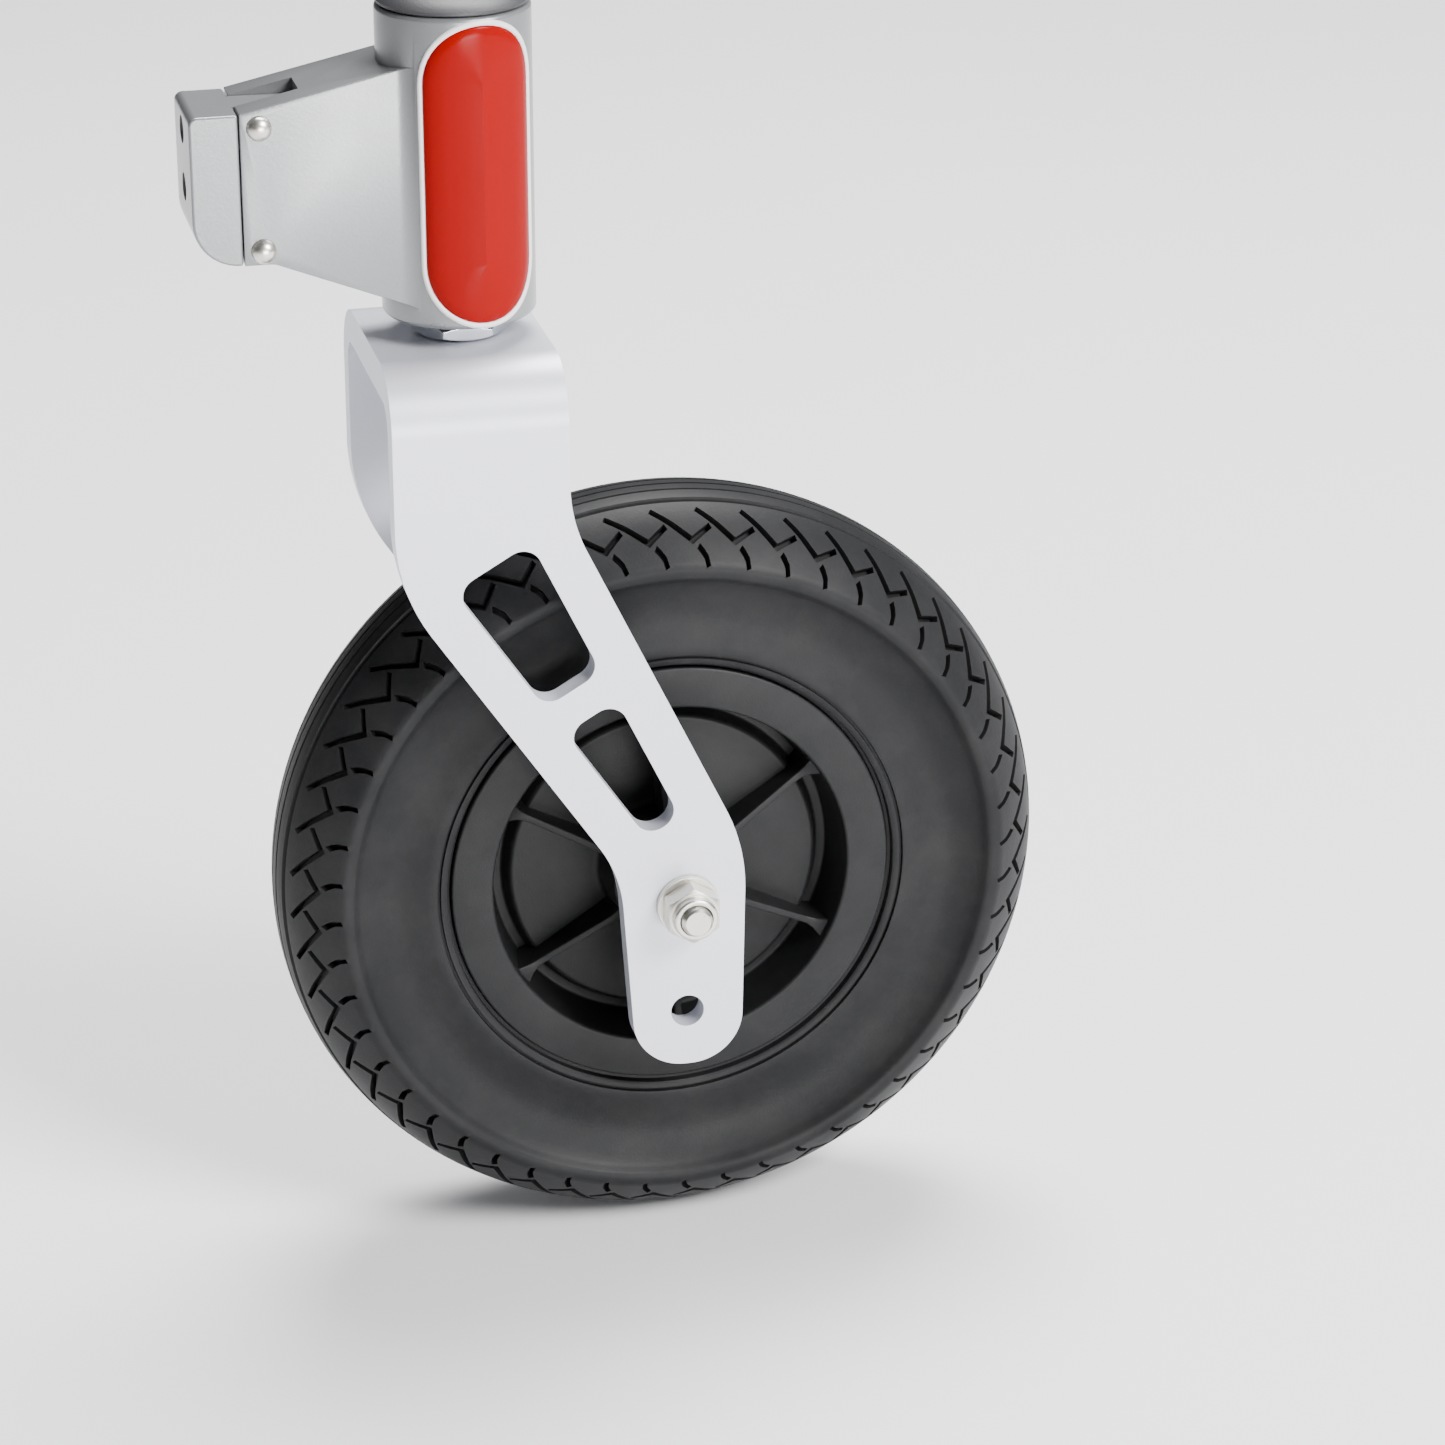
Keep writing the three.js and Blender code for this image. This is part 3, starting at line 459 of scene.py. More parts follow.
# tyre
tyreBox = boxOf("tyre")
tyre = {
    "radius": tyreBox[1].z,
    "halfWidth": tyreBox[1].y,
    "crownDrop": 14.0,
    "crownPower": 2.2,
    "pitches": 52,
    "grooves": ((-8.3, 0.85, 2.0), (-3.7, 0.42, 1.1), (0.0, 0.42, 1.1), (3.7, 0.42, 1.1), (8.3, 0.85, 2.0)),
    "sipeHalfWidth": 0.7,
    "sipeDepth": 2.6,
    "sipeOver": 1.2,  # how far a cutter stands above the tread
    "sipeMitre": 0.45,  # the sharpest corner a stroke's side may take
    "crownSteps": 22,
    "facetsPerPitch": 4,
    # a groove's section, in shares of its half width and depth
    "grooveSection": ((-1, 0), (-0.75, 0.85), (-0.35, 1), (0.35, 1), (0.75, 0.85), (1, 0)),
    "grooveClear": 1.4,  # half widths kept free of crown points
    # (along, across) points of the tread's two strokes
    "longStroke": ((-3.9, 11.4), (-1.7, 13.1), (0.6, 14.8), (3.8, 17.2), (6.1, 18.7), (8.8, 17.2),
                   (11.5, 15.6)),
    "shortStroke": ((7.6, 19.8), (8.7, 20.8), (9.6, 21.8), (10.1, 23.4)),
    # the wall, as (below the shoulder, in from the tread's side)
    "wall": ((1.2, -0.1), (2.6, 0.0), (3.3, 0.5), (4.0, 1.4), (5.2, 2.3), (7.2, 3.3), (9.6, 4.3), (12.0, 5.0),
             (14.4, 5.3), (16.8, 5.2), (19.4, 4.8), (22.2, 4.3)),
    # the ring groove, as (out from lipRadius, in from the tread's side)
    "ringGroove": ((1.4, 3.9), (0.45, 4.1), (0.35, 5.2), (-0.35, 5.2), (-0.5, 4.2)),
    # the bead, as (out from beadRadius, out from beadHalfWidth)
    "bead": ((1.5, 0.6), (1.0, 0.2), (0.8, -1.6), (0.0, -1.8)),
    "beadHalfWidth": 18.6,
    "beadRadius": 57.5,
    "lipRadius": 60.6,  # the thin ring line outside the bead
    "channelRadius": 50.3,
    "channelHalfWidth": 11.7,
    "flangeEdge": 13.8,
}


def crownHeight(y):
    return tyre["radius"] - tyre["crownDrop"] * (abs(y) / tyre["halfWidth"]) ** tyre["crownPower"]


def crownPoint(along, y, lift):
    # a point on the tread, moved out along the crown's own normal, wrapped round the wheel
    step = 0.05
    slope = (crownHeight(y + step) - crownHeight(y - step)) / (2 * step)
    length = math.hypot(1, slope)
    radius = crownHeight(y) + lift / length
    side = y - lift * slope / length
    angle = along / tyre["radius"]
    return (radius * math.sin(angle), side, radius * math.cos(angle))


def tyreProfile():
    edge = tyre["halfWidth"]
    shoulder = crownHeight(edge)
    crown = []
    for i in range(-tyre["crownSteps"], tyre["crownSteps"] + 1):
        y = edge * i / tyre["crownSteps"]
        if all(abs(y - groove) > half * tyre["grooveClear"] for groove, half, deep in tyre["grooves"]):
            crown.append((crownHeight(y), y))
    for groove, half, deep in tyre["grooves"]:
        for across, down in tyre["grooveSection"]:
            y = groove + across * half
            crown.append((crownHeight(y) - down * deep, y))
    crown.sort(key=lambda p: p[1])
    # the tread's side falls into a shallow valley, then the wall rises to the ring groove and the bead
    flank = [(shoulder - drop, edge - back) for drop, back in tyre["wall"]]
    flank += [(tyre["lipRadius"] + out, edge - back) for out, back in tyre["ringGroove"]]
    flank += [(tyre["beadRadius"] + out, tyre["beadHalfWidth"] + side) for out, side in tyre["bead"]]
    flank += [(tyre["beadRadius"], tyre["flangeEdge"]), (tyre["channelRadius"], tyre["channelHalfWidth"])]
    return crown + flank + [(r, -y) for r, y in reversed(flank)]


def sipeStrip(path, side):
    # a thin cutter along a path of (along, across) points, as deep as the sipes
    half = tyre["sipeHalfWidth"]
    left, right = [], []
    for i, (s, y) in enumerate(path):
        here = Vector((s, y))
        before = Vector(path[max(i - 1, 0)])
        after = Vector(path[min(i + 1, len(path) - 1)])
        inward = (here - before).normalized() if i else (after - here).normalized()
        onward = (after - here).normalized() if i < len(path) - 1 else inward
        mean = (inward + onward).normalized()
        across = Vector((-mean.y, mean.x))
        reach = half / max(across.dot(Vector((-onward.y, onward.x))), tyre["sipeMitre"])
        left.append(here + across * reach)
        right.append(here - across * reach)
    verts = []
    for a, b in zip(left, right):
        for spot in (a, b):
            verts.append(crownPoint(spot.x, side * spot.y, tyre["sipeOver"]))
        for spot in (b, a):
            verts.append(crownPoint(spot.x, side * spot.y, -tyre["sipeDepth"]))
    faces = [(0, 1, 2, 3)]
    last = 4 * (len(path) - 1)
    faces.append((last + 3, last + 2, last + 1, last))
    for i in range(len(path) - 1):
        for k in range(4):
            a, b = 4 * i + k, 4 * i + (k + 1) % 4
            faces.append((a, a + 4, b + 4, b))
    return verts, faces


def sipeCutter():
    # one pitch of the tread: on each side a long hooked stroke and a short one out to the shoulder
    pitch = 2 * math.pi * tyre["radius"] / tyre["pitches"]
    verts, faces = [], []
    for side, shift in ((-1, 0.0), (1, pitch / 2)):
        for path in (tyre["longStroke"], tyre["shortStroke"]):
            more, sides = sipeStrip([(s + shift, y) for s, y in path], side)
            faces += [tuple(len(verts) + k for k in f) for f in sides]
            verts += more
    return newPiece("sipe cutter", verts, faces)


tyreSkin = turned("tyre_skin", tyreProfile(), tyre["pitches"] * tyre["facetsPerPitch"])
cutter = repeatRound(sipeCutter(), tyre["pitches"], 0.0, tyreRubber)
combine(tyreSkin, [cutter], "DIFFERENCE")
shade(tyreSkin, 38, weighted=False)
settle(tyreSkin, "wheel", tyreRubber, ["tyre"])
print("tyre made", len(tyreSkin.data.polygons))


# rim
rimBox = boxOf("rim")
rim = {
    "halfWidth": 18.3,
    "hubHalfWidth": rimBox[1].y,
    "radius": rimBox[1].z,
    "channelRadius": 50.0,
    "channelHalfWidth": 12.0,
    "flangeEdge": 13.8,
    "dishRadius": 46.0,
    "webRing": 3.8,  # from the middle plane out to the web's outer ring
    "webRaised": 8.3,
    "raisedRadius": 40.2,
    "hubRadius": 15.5,
    "bearingSeat": 11.3,
    "seatEnd": 13.2,
    "bore": 9.7,
    "spokes": 6,
    "spokeAngle": 33.4,
    "spokeHubHalf": 19.5,  # from the middle plane out to a spoke's edge, at the hub
    "spokeRimHalf": 13.2,
    "spokeSteps": 18,
    "spokeEdge": 0.4,
    "spokeRoot": 2.5,  # how far a spoke starts inside the hub
    "spokeTip": 1.6,  # how far it runs into the dish's wall
    "rimFlareLength": 7.5,
    "hubFlareLength": 6.5,
    "hubFlare": 1.6,
    "climb": 3.4,  # how far a spoke climbs the dish's wall at its end
    "climbShare": 0.2,
    "dishDraft": (0.4, 1.6),  # the wall's lean, out at the face and in at the floor
    "raisedFoot": 1.4,
    "hubFoot": 1.6,
    "spokeHalf": 0.95,
    "flare": 3.0,
    "segments": 144,
}


def rimProfile():
    half = [
        (rim["channelRadius"], rim["channelHalfWidth"], 0.6),
        (rim["radius"], rim["flangeEdge"], 0.4),
        (rim["radius"], rim["halfWidth"], 0.7),
        (rim["dishRadius"] + rim["dishDraft"][0], rim["halfWidth"], 0.9),
        (rim["dishRadius"] - rim["dishDraft"][1], rim["webRing"], 0.8),
        (rim["raisedRadius"] + rim["raisedFoot"], rim["webRing"], 0.8),
        (rim["raisedRadius"], rim["webRaised"], 1.4),
        (rim["hubRadius"] + rim["hubFoot"], rim["webRaised"], 2.0),
        (rim["hubRadius"], rim["hubHalfWidth"], 0.8),
        (rim["bearingSeat"], rim["hubHalfWidth"], 0.5),
        (rim["bearingSeat"], rim["seatEnd"], 0.0),
        (rim["bore"], rim["seatEnd"], 0.0),
    ]
    mirrored = [(r, -y, e) for r, y, e in reversed(half)]
    return rounded(half + mirrored, 5)


def spokeBlade():
    # one thin rib through the web, with flared roots and a rounded edge
    inner, outer = rim["hubRadius"] - rim["spokeRoot"], rim["dishRadius"] + rim["spokeTip"]
    stations, edge = rim["spokeSteps"], rim["spokeEdge"]
    verts, faces = [], []
    for i in range(stations + 1):
        share = i / stations
        radius = inner + (outer - inner) * share
        fromRim = max(0.0, 1 - (outer - radius) / rim["rimFlareLength"])
        fromHub = max(0.0, 1 - (radius - inner) / rim["hubFlareLength"])
        half = rim["spokeHalf"] + rim["flare"] * fromRim ** 2.4 + rim["hubFlare"] * fromHub ** 2
        height = rim["spokeHubHalf"] + (rim["spokeRimHalf"] - rim["spokeHubHalf"]) * share
        height += rim["climb"] * max(0.0, 1 - (1 - share) / rim["climbShare"]) ** 1.6
        corners = ((-half, -height), (half, -height), (half, height), (-half, height))
        section = rounded([(x, y, edge) for x, y in corners], 4)
        verts += [(radius, y, across) for across, y in section]
    loop = len(section)
    for i in range(stations):
        for k in range(loop):
            a, b = i * loop + k, i * loop + (k + 1) % loop
            faces.append((a, b, b + loop, a + loop))
    faces.append(tuple(range(loop)))
    faces.append(tuple(reversed(range(stations * loop, stations * loop + loop))))
    return newPiece("spoke blade", verts, faces)


rimCasting = turned("rim_casting", rimProfile(), rim["segments"])
blades = repeatRound(spokeBlade(), rim["spokes"], -rim["spokeAngle"], rimPlastic)
hubHollow = rod("hub hollow", rim["hubRadius"] - 1.0, -rim["hubHalfWidth"] - 1, rim["hubHalfWidth"] + 1)
combine(blades, [hubHollow], "DIFFERENCE")
combine(rimCasting, [blades], "UNION")
shade(rimCasting, 34, weighted=False)
settle(rimCasting, "wheel", rimPlastic, ["rim"])
print("rim made", len(rimCasting.data.polygons))


# fork
forkBox = boxOf("fork")
fork = {
    "halfWidth": forkBox[1].y,
    "leg": 6.3,
    "plate": 9.0,
    "top": forkBox[1].z,
    "back": forkBox[0].x,
    "front": -28.6,
    "bend": 15.0,
    "innerBend": 6.0,
    "kneeBack": 90.7,
    "kneeFront": 105.3,
    "ankleBack": (-17.1, 9.8),
    "ankleFront": (15.3, 14.1),
    "toeBack": -13.2,
    "toeFront": 14.2,
    "toeRadius": 13.5,
    "kneeRadius": 50.0,
    "kneeFrontRadius": 40.0,
    "ankleRadius": 35.0,
    "spareDrop": 30.2,
    "holeRadius": 4.3,
    "stemHoleRadius": 4.3,
    "rail": 11.0,
    "slots": ((21.9, 58.4), (67.2, 106.4)),
    "slotCorner": 5.0,
    "slotAngle": 30.0,
    "edge": 0.55,
    "reachFront": 30.0,
}


def crossing(pointA, alongA, pointB, alongB):
    share = (pointB - pointA).cross(alongB) / alongA.cross(alongB)
    return pointA + alongA * share


def slotOutline(start, end):
    angle = math.radians(fork["slotAngle"])
    across, up = Vector((math.cos(angle), math.sin(angle))), Vector((-math.sin(angle), math.cos(angle)))
    rails = []
    for low, high, side in ((fork["ankleBack"], (fork["back"], fork["kneeBack"]), 1),
                            (fork["ankleFront"], (fork["front"], fork["kneeFront"]), -1)):
        along = (Vector(high) - Vector(low)).normalized()
        rails.append((Vector(low) + Vector((along.y, -along.x)) * fork["rail"] * side, along))
    corners = [crossing(*rails[0], up * start, across), crossing(*rails[1], up * start, across),
               crossing(*rails[1], up * end, across), crossing(*rails[0], up * end, across)]
    return rounded([(p.x, p.y, fork["slotCorner"]) for p in corners], 10)


def makeForkSkin():
    bottom = forkBox[0].z
    outer, inner, top = fork["halfWidth"], fork["halfWidth"] - fork["leg"], fork["top"]
    foot, plateUnder = bottom - past, top - fork["plate"]
    section = rounded([
        (-outer, foot, 0), (-inner, foot, 0), (-inner, plateUnder, fork["innerBend"]),
        (inner, plateUnder, fork["innerBend"]), (inner, foot, 0), (outer, foot, 0),
        (outer, top, fork["bend"]), (-outer, top, fork["bend"])], 20)
    bent = prism("fork_skin", section, fork["back"] - past, fork["reachFront"], "YZ")
    outline = rounded([
        (fork["back"], top + past, 0), (fork["back"], fork["kneeBack"], fork["kneeRadius"]),
        (*fork["ankleBack"], fork["ankleRadius"]), (fork["toeBack"], bottom, fork["toeRadius"]),
        (fork["toeFront"], bottom, fork["toeRadius"]), (*fork["ankleFront"], fork["kneeRadius"]),
        (fork["front"], fork["kneeFront"], fork["kneeFrontRadius"]), (fork["front"], top + past, 0)], 16)
    reach = outer + past
    combine(bent, [prism("fork outline", outline, -reach, reach, "XZ")], "INTERSECT")
    cuts = [prism("slot", slotOutline(*span), -reach, reach, "XZ") for span in fork["slots"]]
    cuts.append(rod("axle hole", fork["holeRadius"], -reach, reach))
    cuts.append(rod("spare hole", fork["holeRadius"], -reach, reach, z=-fork["spareDrop"]))
    cuts.append(rod("stem hole", fork["stemHoleRadius"], plateUnder - past, top + past, "Z", x=stemX))
    combine(bent, cuts, "DIFFERENCE")
    bevelEdges(bent, fork["edge"], 3, 40)
    return shade(bent, 30)


forkSkin = makeForkSkin()
settle(forkSkin, "fork", silverPaint, ["fork"])
print("fork made", len(forkSkin.data.polygons))


# nuts, bolts and washers
hardware = {
    "bore": 4.3,
    "thread": 4.0,
    "threadPitch": 1.25,
    "threadDepth": 0.45,
    "threadSides": 36,
    "threadSteps": 8,  # rows of points to a turn
    "tipLength": 0.9,
    "tipDrop": 0.8,
    "threadOverlap": 0.5,
    "axleThread": 16.0,
    "stemThread": 14.0,
    "flats": 13.0,
    "jamFlats": 21.0,
    "faceShare": 0.97,  # how much of the flats' width is left flat on an end
    "chamferAngle": 30.0,
    "conePast": 0.2,
    "headHeight": 5.3,
    "collarHeight": 2.3,
    "collarRadius": 5.6,
    "collarFoot": 5.9,
    "collarRise": 1.5,
    "flangeThickness": 1.2,
    "sleeveRadius": 5.6,
    "washerEdge": 0.25,
    "segments": 48,
}


def hexBody(name, flats, low, high, axis="Y", chamferLow=True):
    # a hexagon whose corners are turned down to a cone at its ends
    corner = flats / math.sqrt(3)
    start = math.pi / 6 if axis == "Y" else 0.0
    angles = [start + math.pi * k / 3 for k in range(6)]
    outline = [(corner * math.cos(a), corner * math.sin(a)) for a in angles]
    body = prism(name, outline, low, high, "XZ" if axis == "Y" else "XY")
    face, reach = flats / 2 * hardware["faceShare"], corner + hardware["conePast"]
    drop = (corner - face) * math.tan(math.radians(hardware["chamferAngle"]))
    foot = [(face, low), (reach, low + drop)] if chamferLow else [(reach, low)]
    profile = [(0, low), *foot, (reach, high - drop), (face, high), (0, high)]
    return combine(body, [turned("cone", profile, 72, axis, closed=False)], "INTERSECT")


def threadRod(name, radius, low, high, axis="Y"):
    # a rod with a real helical thread and a rounded tip at its high end
    around, pitch, length = hardware["threadSides"], hardware["threadPitch"], abs(high - low)
    rows = max(2, int(round(length / pitch * hardware["threadSteps"])))
    verts, faces = [], []
    for i in range(rows + 1):
        share = i / rows
        height = low + (high - low) * share
        taper = max(0.0, 1 - (1 - share) * length / hardware["tipLength"]) * hardware["tipDrop"]
        for k in range(around):
            phase = (abs(height - low) / pitch - k / around) % 1.0
            dip = hardware["threadDepth"] * abs(2 * phase - 1)
            r = radius - max(dip, taper)
            angle = 2 * math.pi * k / around
            x, y = r * math.cos(angle), r * math.sin(angle)
            verts.append((x, height, y) if axis == "Y" else (x, y, height))
    for i in range(rows):
        for k in range(around):
            a, b = i * around + k, i * around + (k + 1) % around
            faces.append((a, b, b + around, a + around))
    faces.append(tuple(range(around)))
    faces.append(tuple(reversed(range(rows * around, rows * around + around))))
    return newPiece(name, verts, faces)


def washer(name, inner, outer, low, high, axis="Y"):
    profile = eased([(inner, low), (outer, low), (outer, high), (inner, high)], hardware["washerEdge"])
    return turned(name, profile, hardware["segments"], axis)


def onStem(obj):
    obj.data.transform(Matrix.Translation((stemX, 0, 0)))
    return obj


def makeAxleHardware():
    nutLow, nutHigh = boxOf("axle_nut")
    boltLow, boltHigh = boxOf("axle_bolt")
    flats = hardware["flats"]
    collar = nutLow.y + hardware["collarHeight"]
    collarTop = collar + hardware["collarRise"]
    nut = hexBody("axle_nut_skin", flats, collar, nutHigh.y)
    profile = rounded([(0, nutLow.y, 0), (hardware["collarRadius"], nutLow.y, 0.7),
                       (hardware["collarFoot"], collarTop, 0), (0, collarTop, 0)], 5)
    ring = turned("collar", profile, 60, closed=False)
    combine(nut, [ring], "UNION")
    combine(nut, [rod("bore", hardware["bore"], nutLow.y - past, nutHigh.y + past)], "DIFFERENCE")
    bevelEdges(nut, 0.18, 2, 25)
    shade(nut, 40)
    settle(nut, "fork", zincPlate, ["axle_nut"])
    headBase = boltHigh.y - hardware["headHeight"]
    threadEnd = boltLow.y + hardware["axleThread"]
    bolt = hexBody("axle_bolt_skin", flats, headBase, boltHigh.y, chamferLow=False)
    shank = rod("shank", hardware["thread"], threadEnd, headBase + past)
    tip = threadRod("tip", hardware["thread"], threadEnd + hardware["threadOverlap"], boltLow.y)
    combine(bolt, [shank, tip], "UNION")
    shade(bolt, 35)
    settle(bolt, "fork", zincPlate, ["axle_bolt"])
    for node in ("left_axle_washer", "right_axle_washer"):
        low, high = boxOf(node)
        piece = washer(node + "_skin", hardware["bore"], high.z, low.y, high.y)
        settle(shade(piece, 30), "fork", zincPlate, [node])


def makeStemHardware():
    low, high = boxOf("stem_jam_nut")
    nut = hexBody("stem_jam_nut_skin", hardware["jamFlats"], low.z, high.z, "Z")
    combine(nut, [rod("bore", hardware["bore"], low.z - past, high.z + past, "Z")], "DIFFERENCE")
    bevelEdges(nut, 0.15, 2, 25)
    settle(shade(onStem(nut), 40), "fork", brightPlate, ["stem_jam_nut"])
    low, high = boxOf("dust_ring")
    edgeRadius, sleeve = (high.x - low.x) / 2, hardware["sleeveRadius"]
    flange = low.z + hardware["flangeThickness"]
    profile = rounded([
        (hardware["bore"], low.z, 0), (edgeRadius, low.z, 0.4), (edgeRadius, flange, 0.4),
        (sleeve, flange, 0.3), (sleeve, high.z, 0.2), (hardware["bore"], high.z, 0)], 4)
    ring = turned("dust_ring_skin", profile, 72, "Z")
    settle(shade(onStem(ring), 35), "fork", groundSteel, ["dust_ring"])
    low, high = boxOf("stem_bolt")
    headTop = low.z + hardware["headHeight"]
    threadStart = high.z - hardware["stemThread"]
    bolt = hexBody("stem_bolt_skin", hardware["flats"], low.z, headTop, "Z")
    shank = rod("shank", hardware["thread"], headTop - past, threadStart, "Z")
    tip = threadRod("tip", hardware["thread"], threadStart - hardware["threadOverlap"], high.z, "Z")
    combine(bolt, [shank, tip], "UNION")
    settle(shade(onStem(bolt), 35), "fork", zincPlate, ["stem_bolt"])


makeAxleHardware()
makeStemHardware()
print("hardware made")


# head housing, inlay, cap and lug
housingBox = boxOf("head_housing")
head = {
    "barrelRadius": 18.8,
    "bottom": housingBox[0].z,
    "top": housingBox[1].z,
    "seat": 11.3,
    "bore": 9.7,
    "capRecess": 12.8,
    "seatDepth": 8.8,
    "armEnd": housingBox[0].x,
    "armHalf": 13.0,
    "fillet": 7.0,
    "underStart": (-60.0, 154.4),
    "underEnd": (-95.0, 168.2),
    "topAtEnd": 205.0,
    "topAtBarrel": 217.0,
    "edge": 0.9,
    "slotHalf": 5.3,
    "slotLength": 15.3,
    "seatGap": 0.3,
    "capSeat": 1.5,
    "wall": 2.0,  # how far the arm's root runs into the barrel
    "armReach": 60.0,
    "pinHole": 2.8,
    "pinReach": 20.0,
}
inlay = {
    "angle": 10.0,
    "halfAngle": 44.0,
    "bottomMargin": 1.6,
    "topMargin": 1.9,
    "depth": 1.4,
    "proud": 0.5,
    "bead": 0.75,
    "beadOut": 0.62,  # from the inlay's edge out to the bead's middle
    "beadSink": 0.12,
    "pocketGap": 0.25,
    "pocketSink": 0.3,
    "pocketReach": 3.0,
    "middle": 20.0,  # an inset that meets on the centre line
    # the face, as (in from its edge, above the proud height)
    "face": ((0.0, -0.6), (0.18, -0.22), (0.6, 0.0), (2.5, 0.1), (6.0, 0.18), (20.0, 0.2)),
}


def onBarrel(across, z, lift):
    angle = math.radians(inlay["angle"]) + across / head["barrelRadius"]
    radius = head["barrelRadius"] + lift
    return (stemX + radius * math.sin(angle), -radius * math.cos(angle), z)


def inlayRing(inset, steps=20):
    # the inlay's outline, unrolled, drawn this far inside its edge
    half = math.radians(inlay["halfAngle"]) * head["barrelRadius"]
    low = head["bottom"] + inlay["bottomMargin"] + half
    high = head["top"] - inlay["topMargin"] - half
    radius = max(half - inset, 0.001)
    points = []
    for centre, start in ((low, math.pi), (high, 0.0)):
        for k in range(steps + 1):
            angle = start + math.pi * k / steps
            points.append((radius * math.cos(angle), centre + radius * math.sin(angle)))
    return points


def inlayBody(name, rings):
    # a curved plate made of outline rings, each (inset, lift), closed at both ends
    verts, faces = [], []
    count = len(inlayRing(0))
    for inset, lift in rings:
        verts += [onBarrel(x, z, lift) for x, z in inlayRing(inset)]
    for i in range(len(rings) - 1):
        for k in range(count):
            a, b = i * count + k, i * count + (k + 1) % count
            faces.append((a, b, b + count, a + count))
    return newPiece(name, verts, faces)


def slab(name, left, right, half, low, high):
    # a plain block from left to right in X, and this half width in Y
    return prism(name, [(left, -half), (right, -half), (right, half), (left, half)], low, high, "XY")


def pinHoles():
    boxes = [boxOf("lower_lug_pin"), boxOf("upper_lug_pin")]
    reach = head["pinReach"]
    middles = [(low + high) / 2 for low, high in boxes]
    return [rod("pin hole", head["pinHole"], -reach, reach, x=spot.x, z=spot.z) for spot in middles]


def makeHousingSkin():
    low, top, seat, bore = head["bottom"], head["top"], head["seat"], head["bore"]
    radius = head["barrelRadius"]
    seatLow = low + head["seatDepth"] + head["seatGap"]
    seatHigh = top - head["capRecess"] - head["seatDepth"] + head["capSeat"]
    barrel = turned("head_housing_skin", rounded([
        (seat, low, 0.3), (radius, low, 1.4), (radius, top, 1.2), (seat, top, 0.4), (seat, seatHigh, 0),
        (bore, seatHigh, 0), (bore, seatLow, 0), (seat, seatLow, 0)], 6), 128, "Z", centreX=stemX)
    half, fillet = head["armHalf"], head["fillet"]
    filletX = stemX - math.sqrt((radius + fillet) ** 2 - (half + fillet) ** 2)
    touch = math.atan2(half + fillet, filletX - stemX)
    plan = [(head["armEnd"], -half), (head["armEnd"], half)]
    steps = 10
    arc = [-math.pi / 2 + (touch - math.pi / 2) * k / steps for k in range(steps + 1)]
    plan += [(filletX + fillet * math.cos(a), half + fillet + fillet * math.sin(a)) for a in arc]
    plan += [(filletX + fillet * math.cos(a), -half - fillet - fillet * math.sin(a)) for a in reversed(arc)]
    arm = prism("arm", plan, low, top, "XY")
    armStart, under = head["armEnd"] - past, head["underStart"][1]
    profile = rounded([
        (armStart, head["underEnd"][1], 0), (*head["underEnd"], 5), (*head["underStart"], 0),
        (stemX, under, 0), (stemX, head["topAtBarrel"], 0), (armStart, head["topAtEnd"], 0)], 8)
    combine(arm, [prism("arm profile", profile, -head["armReach"], head["armReach"], "XZ")], "INTERSECT")
    bevelEdges(arm, head["edge"], 3, 50)
    core = rod("core", radius - head["wall"], low - past, top + past, "Z", x=stemX, segments=128)
    slot = slab("tongue slot", armStart, head["armEnd"] + head["slotLength"], head["slotHalf"], low, top)
    combine(arm, [core, slot], "DIFFERENCE")
    combine(arm, pinHoles(), "DIFFERENCE")
    combine(barrel, [arm], "UNION")
    middle, edge = inlay["middle"], -inlay["pocketGap"]
    deep, clear = inlay["proud"] - inlay["depth"] - inlay["pocketSink"], inlay["pocketReach"]
    pocket = inlayBody("pocket", [(middle, deep), (edge, deep), (edge, clear), (middle, clear)])
    combine(barrel, [pocket], "DIFFERENCE")
    return shade(barrel, 34, weighted=False)


def makeInlay():
    lift, bottom = inlay["proud"], inlay["proud"] - inlay["depth"]
    rings = [(inlay["middle"], bottom), (0.0, bottom)]
    rings += [(inset, lift + rise) for inset, rise in inlay["face"]]
    return shade(inlayBody("red_inlay_skin", rings), 40, weighted=False)


def makeInlayRim():
    # the pale bead round the inlay, swept along its outline
    curve = bpy.data.curves.new("inlay_rim", "CURVE")
    curve.dimensions = "3D"
    spline = curve.splines.new("POLY")
    points = inlayRing(-inlay["beadOut"], 28)
    spline.points.add(len(points) - 1)
    for spot, (x, z) in zip(spline.points, points):
        spot.co = (*onBarrel(x, z, -inlay["beadSink"]), 1)
    spline.use_cyclic_u = True
    path = bpy.data.objects.new("inlay_rim_path", curve)
    bpy.context.scene.collection.objects.link(path)
    modifier = path.modifiers.new("bead", "NODES")
    modifier.node_group = beadAlong
    setInputs(modifier, {"Bead radius": inlay["bead"], "Bead sides": 12, "Material": paleRim})
    bpy.context.view_layer.update()
    graph = bpy.context.evaluated_depsgraph_get()
    mesh = bpy.data.meshes.new_from_object(path.evaluated_get(graph))
    bpy.data.objects.remove(path)
    mesh.name = "inlay_rim"
    obj = bpy.data.objects.new("inlay_rim", mesh)
    bpy.context.scene.collection.objects.link(obj)
    return shade(obj, 60, weighted=False)


cap = {
    # the dome, as (share of the outer radius, below the top)
    "dome": ((0.35, 0.15), (0.62, 0.7), (0.82, 1.7), (0.94, 3.0)),
    "rimShare": 0.985,
    "rimEdge": 0.6,
    "rimRise": (0.9, 0.3),
    "gap": 0.3,
    "skirt": (11.0, 9.0),  # outer and inner radius
    "roof": (2.4, 2.2),  # thickness at the skirt and in the middle
}


